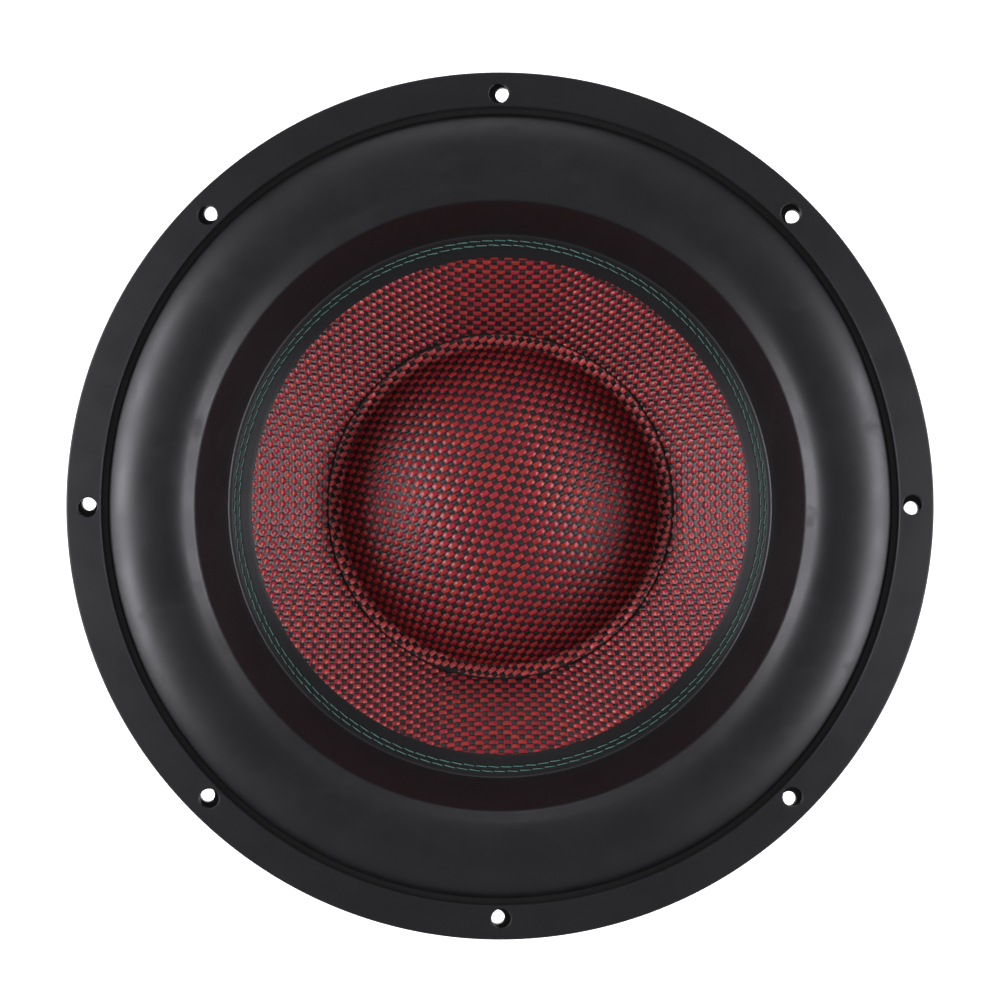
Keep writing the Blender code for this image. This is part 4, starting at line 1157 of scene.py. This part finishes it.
def build_motor_bolts(looks):
    """Socket-head screws with hexagon sockets."""
    for k in range(SPOKE_COUNT):
        node = f"motor_bolt_{k + 1}"
        centre = middle(node)
        bottom, top = low(node), high(node)
        seat = top - 5.4
        outline = rounded([(0, bottom, 0), (2.9, bottom, 0.5), (2.9, seat, 0.2), (5.0, seat, 0.3),
                           (5.0, top, 0.7), (0, top, 0)], 3)
        socket = bmesh.new()
        add_cylinder(socket, 2.9, (0, 0, top - 3.0), (0, 0, top + 1), 6)
        mesh = boolean_mesh(lathe_mesh(node + "_screw", outline, 40), "DIFFERENCE", socket)
        mesh.transform(Matrix.Translation((centre.x * MM, centre.y * MM, 0)))
        add_object(node + "_screw", mesh, looks["bolt_black"], "frame", (node,))


def build_windings(looks):
    """Round wire, every turn of both layers."""
    wire = 1.0
    for node in ("coil_winding_inner", "coil_winding_outer"):
        bore, reach = radii(node)
        bottom, top = low(node), high(node)
        turns = int((top - bottom) / wire)
        outline = [(bore, top), (bore, bottom)]
        for k in range(turns):
            centre = (reach - wire / 2, bottom + wire * (k + 0.5))
            outline += arc(centre, wire / 2, -80, 80, 4)
        mesh = lathe_mesh(node + "_wire", outline, 128, None)
        add_object(node + "_wire", mesh, looks["coil_copper"], "cone", (node,))


def build_spiders(looks):
    """Pressed cloth with round corrugations, between the shelf and the former."""
    for node in ("spider_lower", "spider_upper"):
        inner, foot = radii(node)
        bottom, top = low(node), high(node)
        thick = 0.8
        swing = (top - bottom - thick) / 2
        centre = (top + bottom) / 2
        start, end = inner + 5.0, SHELF_BORE - 2.0
        radius = np.concatenate([np.linspace(inner, start, 5)[:-1], np.linspace(start, end, 73),
                                 np.linspace(end, foot, 8)[1:]])
        share = np.clip((radius - start) / (end - start), 0, 1)
        wave = np.sin(share * 4 * math.tau) * swing * np.sin(np.clip(share * 8, 0, 1) * math.pi / 2)
        wave *= np.sin(np.clip((1 - share) * 8, 0, 1) * math.pi / 2)
        upper = list(zip(radius, centre + wave + thick / 2))
        lower = list(zip(radius, centre + wave - thick / 2))
        mesh = lathe_mesh(node + "_cloth", upper[::-1] + lower, 180)
        cloth = add_object(node + "_cloth", mesh, looks["spider_cloth"], None, (node,))
        flex_by(cloth, smooth_share((end - point_radii(mesh)) / (end - start)))


def build_leads(looks):
    """Braided leads: each rises from its terminal base, then curves on its way to the cone."""
    count = 72
    for k in range(4):
        node = f"tinsel_lead_{k + 1}"
        corner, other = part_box(node)
        centre = middle(node)
        side = 1 if centre.x > 0 else -1
        hand = 1 if centre.y > 0 else -1
        start = np.array((side * 106.0, hand * 27.0, 132.0))
        bend = np.array((side * 78.0, hand * 16.0, 154.0))
        end = np.array((side * 44.0, hand * 7.0, 130.2))
        share = np.linspace(0, 1, count)[:, None]
        path = (1 - share) ** 2 * start + 2 * share * (1 - share) * bend + share ** 2 * end
        joint = np.array((side * 111.0, hand * 20.0, high("terminal_base_right") - 0.4))
        bow = start - 0.25 * (bend - start)
        rise = np.linspace(0, 1, 24)[:-1, None]
        path = np.vstack([(1 - rise) ** 2 * joint + 2 * rise * (1 - rise) * bow + rise ** 2 * start, path])
        share = np.vstack([np.zeros_like(rise), share])
        swell = np.ones(len(path))
        swell[:6] = 0.82
        swell[-6:] = 0.82
        mesh = tube_mesh(node + "_braid", path, 1.1, 14, swell)
        lead = add_object(node + "_braid", mesh, looks["lead_braid"], None, (node,))
        rings = np.repeat(share.ravel(), 14)
        flex_by(lead, smooth_share((rings - 0.12) / 0.76))


# ---------------------------------------------------------------- terminals

def terminal_places():
    """For each terminal: its side's name, its direction along X, and its posts' colours."""
    for side, way in (("right", 1), ("left", -1)):
        for colour in ("red", "black"):
            yield side, way, colour, middle(f"terminal_post_{side}_{colour}")


def outward(mesh, way, start, y, z):
    """Turns a mesh made along +Z so that it points outward along X from a start height."""
    turn = Matrix.Rotation(math.radians(90), 4, "Y")
    flip = Matrix.Rotation(0 if way > 0 else math.pi, 4, "Z")
    mesh.transform(Matrix.Translation((start * way * MM, y * MM, z * MM)) @ flip @ turn)
    return mesh


def build_terminal_bases(looks):
    for side, way in (("right", 1), ("left", -1)):
        node = f"terminal_base_{side}"
        corner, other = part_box(node)
        size = (other - corner) / MM
        centre = middle(node)
        half_y, half_z, thick = size.y / 2, size.z / 2, size.x
        shape = bmesh.new()
        plate = rounded([(-half_y, -half_z, 3), (half_y, -half_z, 3), (half_y, half_z, 3), (-half_y, half_z, 3)], 6)
        inset = [(y * (1 - 0.6 / half_y), z * (1 - 0.6 / half_z)) for y, z in plate]
        rows = []
        for x, outline in ((0, plate), (thick - 0.6, plate), (thick, inset)):
            rows.append([shape.verts.new(Vector((x, y, z)) * MM) for y, z in outline])
        for one, two in zip(rows, rows[1:]):
            for k in range(len(plate)):
                m = (k + 1) % len(plate)
                shape.faces.new((one[k], one[m], two[m], two[k]))
        shape.faces.new(rows[0][::-1])
        shape.faces.new(rows[-1])
        bmesh.ops.recalc_face_normals(shape, faces=shape.faces)
        mesh = bpy.data.meshes.new(node)
        shape.to_mesh(mesh)
        shape.free()
        cuts = bmesh.new()
        add_cylinder(cuts, 1.9, (-1, 0, 0), (thick + 1, 0, 0), 24)
        for hand in (-1, 1):
            add_cylinder(cuts, 6.6, (thick - 0.25, hand * 12, 0), (thick + 1, hand * 12, 0), 48)
        mesh = boolean_mesh(mesh, "DIFFERENCE", cuts)
        flip = Matrix.Rotation(0 if way > 0 else math.pi, 4, "Z")
        near = min(abs(corner.x), abs(other.x))
        mesh.transform(Matrix.Translation((near * way, 0, centre.z * MM)) @ flip)
        add_object(node + "_plate", mesh, looks["terminal_nylon"], "frame", (node,))


def build_terminal_screws(looks):
    """Pan-head screws with a cross recess."""
    for side, way in (("right", 1), ("left", -1)):
        node = f"terminal_screw_{side}"
        corner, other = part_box(node)
        far = max(abs(corner.x), abs(other.x)) / MM
        near = min(abs(corner.x), abs(other.x)) / MM
        length = far - near
        seat = length - 2.2
        outline = [(0, 0), (1.2, 0), (1.6, 0.6), (1.6, seat), (3.4, seat), (3.4, seat + 0.5)]
        outline += [(1.0 + 2.4 * r, seat + 0.5 + 1.7 * z) for r, z in arc((0, 0), 1.0, 15, 90, 5)]
        outline += [(0, length)]
        mesh = lathe_mesh(node, outline, 36)
        for turn in (0, 90):
            slot = bmesh.new()
            depth = Matrix.Translation((0, 0, (length - 0.2) * MM)) @ Matrix.Rotation(math.radians(turn), 4, "Z")
            bmesh.ops.create_cube(slot, size=1.0, matrix=depth @ Matrix.Diagonal((3.0 * MM, 0.7 * MM, 1.8 * MM, 1.0)))
            mesh = boolean_mesh(mesh, "DIFFERENCE", slot)
        add_object(node + "_panhead", outward(mesh, way, near, 0, middle(node).z), looks["bolt_black"],
                   "frame", (node,))


def build_posts(looks):
    for side, way, colour, centre in terminal_places():
        node = f"terminal_post_{side}_{colour}"
        corner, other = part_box(node)
        near, length = min(abs(corner.x), abs(other.x)) / MM, (other.x - corner.x) / MM
        outline = rounded([(0, 0, 0), (POST_RADIUS, 0, 0.3), (POST_RADIUS, 1.6, 0.1), (POST_RADIUS - 0.5, 1.8, 0.1),
                           (POST_RADIUS - 0.5, 2.6, 0.1), (POST_RADIUS, 2.8, 0.1), (POST_RADIUS, length, 0.5),
                           (POST_BORE, length, 0.2), (POST_BORE, POST_FLOOR, 0.2), (0, POST_FLOOR, 0)], 3)
        holes = bmesh.new()
        add_cylinder(holes, WIRE_HOLE_RADIUS, (-8, 0, length - 4.5), (8, 0, length - 4.5), 28)
        mesh = boolean_mesh(lathe_mesh(node, outline, 64), "DIFFERENCE", holes)
        add_object(node + "_sleeve", outward(mesh, way, near, centre.y, centre.z), looks["terminal_nickel"],
                   "frame", (node,))


def build_buttons(looks):
    """Push caps with grip flutes round the edge and a dished face."""
    flutes = 20
    for side, way, colour, centre in terminal_places():
        node = f"terminal_button_{side}_{colour}"
        corner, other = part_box(node)
        near, length = min(abs(corner.x), abs(other.x)) / MM, (other.x - corner.x) / MM
        reach = (other.y - corner.y) / MM / 2
        cap = length - 5.5
        outline = rounded([(0, 0, 0), (STEM_RADIUS, 0, 0.4), (STEM_RADIUS, cap, 0.2), (reach, cap, 0.5),
                           (reach, length, 1.1), (4.6, length, 1.5), (3.4, length - 0.6, 1.5), (0, length - 0.6, 0)], 4)
        cuts = bmesh.new()
        for k in range(flutes):
            turn = 360 * (k + 0.5) / flutes
            add_cylinder(cuts, 0.55, on_circle(reach + 0.25, turn, cap - 1), on_circle(reach + 0.25, turn, length - 1.3), 10)
        mesh = boolean_mesh(lathe_mesh(node, outline, 80), "DIFFERENCE", cuts)
        hole = bmesh.new()
        level = radii_level(node)
        add_cylinder(hole, WIRE_HOLE_RADIUS, (-5, 0, level), (5, 0, level), 28)
        mesh = boolean_mesh(mesh, "DIFFERENCE", hole)
        add_object(node + "_cap", outward(mesh, way, near, centre.y, centre.z), looks[f"button_{colour}"],
                   f"button_{side}_{colour}", (node,))


def radii_level(node):
    """How far along a button its wire hole lies: its travel beyond the sleeve's own hole."""
    side, colour = node.split("_")[2:]
    corner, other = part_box(f"terminal_post_{side}_{colour}")
    sleeve_end = max(abs(corner.x), abs(other.x)) / MM
    start = min(abs(k.x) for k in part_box(node)) / MM
    return sleeve_end - 4.5 + BUTTON_TRAVEL - start


def build_springs(looks):
    """Round-wire springs."""
    turns, steps, wire = 4, 20, 0.3
    for side, way, colour, centre in terminal_places():
        node = f"terminal_spring_{side}_{colour}"
        corner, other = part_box(node)
        near = min(abs(corner.x), abs(other.x)) / MM
        length = (other.x - corner.x) / MM - 2 * wire
        share = np.linspace(0, 1, turns * steps + 1)
        angle = share * turns * math.tau
        path = np.stack([2.5 * np.cos(angle), 2.5 * np.sin(angle), wire + length * share], -1)
        mesh = outward(tube_mesh(node, path, wire, 10), way, near, centre.y, centre.z)
        piece = add_object(node + "_coil", mesh, looks["spring_steel"], None, (node,))
        flex_by(piece, np.repeat(share, 10))


# ---------------------------------------------------------------- studio

def add_softbox(name, towards, distance, size, power, aim):
    """A rectangular area light facing the driver, power in watts, lengths in millimetres."""
    data = bpy.data.lights.new(name, "AREA")
    data.shape = "RECTANGLE"
    data.size, data.size_y = size[0] * MM, size[1] * MM
    data.energy = power
    data.color = LIGHT_TINT
    light = bpy.data.objects.new(name, data)
    bpy.context.scene.collection.objects.link(light)
    direction = Vector(towards).normalized()
    light.location = (Vector(aim) + direction * distance) * MM
    light.rotation_euler = (-direction).to_track_quat("-Z", "Y").to_euler()
    light.visible_camera = False


def build_lights():
    aim = (0, 0, high("trim_ring"))
    for name, turn, tilt, size, power in SOFTBOXES:
        turn = math.radians(turn)
        tilt = math.radians(tilt)
        towards = (math.sin(tilt) * math.cos(turn), math.sin(tilt) * math.sin(turn), math.cos(tilt))
        add_softbox(name, towards, 1500, size, power, aim)
    world = bpy.data.worlds.new("studio")
    bpy.context.scene.world = world
    world.use_nodes = True
    tree = world.node_tree
    background = tree.nodes["Background"]
    where = tree.nodes.new("ShaderNodeTexCoord")
    parts = tree.nodes.new("ShaderNodeSeparateXYZ")
    ramp = tree.nodes.new("ShaderNodeValToRGB")
    stops = ((0.0, 0.42), (0.40, 0.46), (0.70, 0.42), (0.88, 0.35), (1.0, 0.33))
    while len(ramp.color_ramp.elements) < len(stops):
        ramp.color_ramp.elements.new(0.5)
    for element, (place, level) in zip(ramp.color_ramp.elements, stops):
        element.position = place
        element.color = (level, level, level * 1.04, 1)
    seen = tree.nodes.new("ShaderNodeLightPath")
    pick = tree.nodes.new("ShaderNodeMix")
    pick.data_type = "RGBA"
    pick.inputs[7].default_value = (1, 1, 1, 1)
    tree.links.new(where.outputs["Generated"], parts.inputs[0])
    tree.links.new(parts.outputs["Z"], ramp.inputs[0])
    tree.links.new(seen.outputs["Is Camera Ray"], pick.inputs[0])
    tree.links.new(ramp.outputs["Color"], pick.inputs[6])
    tree.links.new(pick.outputs[2], background.inputs["Color"])


def build_floor():
    """A pale floor that is bright from above and can be looked through from below."""
    half = 6000.0
    level = low("motor_yoke") - 0.2
    corners = [(-half, -half, level), (half, -half, level), (half, half, level), (-half, half, level)]
    s = Surface("floor_pale")
    s.set(Base_Color=(0.86, 0.86, 0.86), Roughness=0.9, Emission_Color=(1.0, 1.0, 1.0), Emission_Strength=0.72)
    back = s.node("ShaderNodeNewGeometry", {}).outputs["Backfacing"]
    clear = s.node("ShaderNodeBsdfTransparent", {}).outputs[0]
    choice = s.node("ShaderNodeMixShader", {0: back, 1: s.shader.outputs[0], 2: clear}).outputs[0]
    s.feed(s.tree.nodes["Material Output"].inputs["Surface"], choice)
    floor = add_object("studio_floor", new_mesh("studio_floor", corners, [(0, 1, 2, 3)]), s.material)


def build_camera():
    """Straight above the driver, from far enough that its depth hardly shows."""
    data = bpy.data.cameras.new("camera")
    reach = 2 * radii("trim_ring")[1]
    data.sensor_width = 36.0
    data.lens = data.sensor_width * RIM_SHARE * VIEW_DISTANCE / reach
    data.shift_y = PICTURE_DROP
    data.clip_end = 100.0
    camera = bpy.data.objects.new("camera", data)
    bpy.context.scene.collection.objects.link(camera)
    camera.location = (0, 0, (high("trim_ring") + VIEW_DISTANCE) * MM)
    bpy.context.scene.camera = camera
    bpy.context.scene.view_settings.view_transform = "Standard"


def make_looks():
    return {
        "ring_satin_black": coated_metal("ring_satin_black", (0.006, 0.006, 0.0075), 0.53, wear=0.2, turned=0.55),
        "basket_coat": coated_metal("basket_coat", (0.018, 0.018, 0.019), 0.55, 0.6, 0.08, 0.6, 0.8),
        "roll_rubber": rubber("roll_rubber", (0.0045, 0.0045, 0.005), 0.41, ridged_within=102.0),
        "glue": rubber("glue", (0.002, 0.002, 0.002), 0.75, 1.5, 0.05),
        "thread_green": twisted("thread_green", (0.07, 0.235, 0.185), 0.42, 0.6, 0.08),
        "woven_red": hybrid_weave("woven_red"),
        "cone_back": woven_cloth("cone_back", (0.03, 0.022, 0.024), 2.5, 0.25),
        "former_foil": bare_metal("former_foil", (0.78, 0.78, 0.8), 0.3, 0.3),
        "coil_copper": bare_metal("coil_copper", (0.75, 0.32, 0.15), 0.3, 0.5),
        "spider_cloth": woven_cloth("spider_cloth", (0.12, 0.10, 0.08), 1.1, 0.12),
        "spacer_plastic": moulded("spacer_plastic", (0.02, 0.02, 0.02), 0.5),
        "plate_steel": coated_metal("plate_steel", (0.02, 0.02, 0.022), 0.42, 0.5, 0.03, 0.5, 0.5),
        "ferrite": ceramic("ferrite", (0.05, 0.05, 0.055)),
        "shorting_aluminium": bare_metal("shorting_aluminium", (0.82, 0.82, 0.84), 0.3),
        "boot_rubber": rubber("boot_rubber", (0.016, 0.016, 0.016), 0.6),
        "screen_steel": coated_metal("screen_steel", (0.03, 0.03, 0.03), 0.45, 0.3, 0.02, 0.4, 0.2),
        "bolt_black": coated_metal("bolt_black", (0.03, 0.03, 0.032), 0.35, 0.2, 0.02, 0.7, 0.2),
        "lead_braid": twisted("lead_braid", (0.85, 0.74, 0.55), 0.9, 1.2, 0.15, 0.9, 0.35, True),
        "terminal_nylon": moulded("terminal_nylon", (0.02, 0.02, 0.02), 0.5),
        "terminal_nickel": bare_metal("terminal_nickel", (0.78, 0.74, 0.68), 0.22),
        "button_red": moulded("button_red", (0.55, 0.018, 0.02), 0.35),
        "button_black": moulded("button_black", (0.018, 0.018, 0.018), 0.35),
        "spring_steel": bare_metal("spring_steel", (0.62, 0.62, 0.65), 0.28),
    }


def build_pieces(looks):
    build_cone(looks)
    build_dust_cap(looks)
    build_surround(looks)
    build_stitches(looks)
    build_trim_ring(looks)
    build_basket(looks)
    build_yoke(looks)
    build_top_plate(looks)
    build_boot(looks)
    build_vent_screen(looks)
    build_motor_bolts(looks)
    build_windings(looks)
    build_spiders(looks)
    build_leads(looks)
    build_terminal_bases(looks)
    build_terminal_screws(looks)
    build_posts(looks)
    build_buttons(looks)
    build_springs(looks)
    for node, slot, body in (("magnet_lower", "ferrite", "frame"), ("magnet_middle", "ferrite", "frame"),
                             ("magnet_upper", "ferrite", "frame"), ("shorting_ring", "shorting_aluminium", "frame"),
                             ("spider_spacer", "spacer_plastic", "frame"), ("voice_coil_former", "former_foil", "cone")):
        plain_ring(node, 0.2 if slot in ("former_foil",) else 0.8, 192, (slot, looks[slot]), body)


def clear_startup_objects():
    for name in ("Cube", "Light", "Camera"):
        if name in bpy.data.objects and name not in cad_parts:
            bpy.data.objects.remove(bpy.data.objects[name])


clear_startup_objects()
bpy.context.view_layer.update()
build_pieces(make_looks())
build_lights()
build_floor()
build_camera()
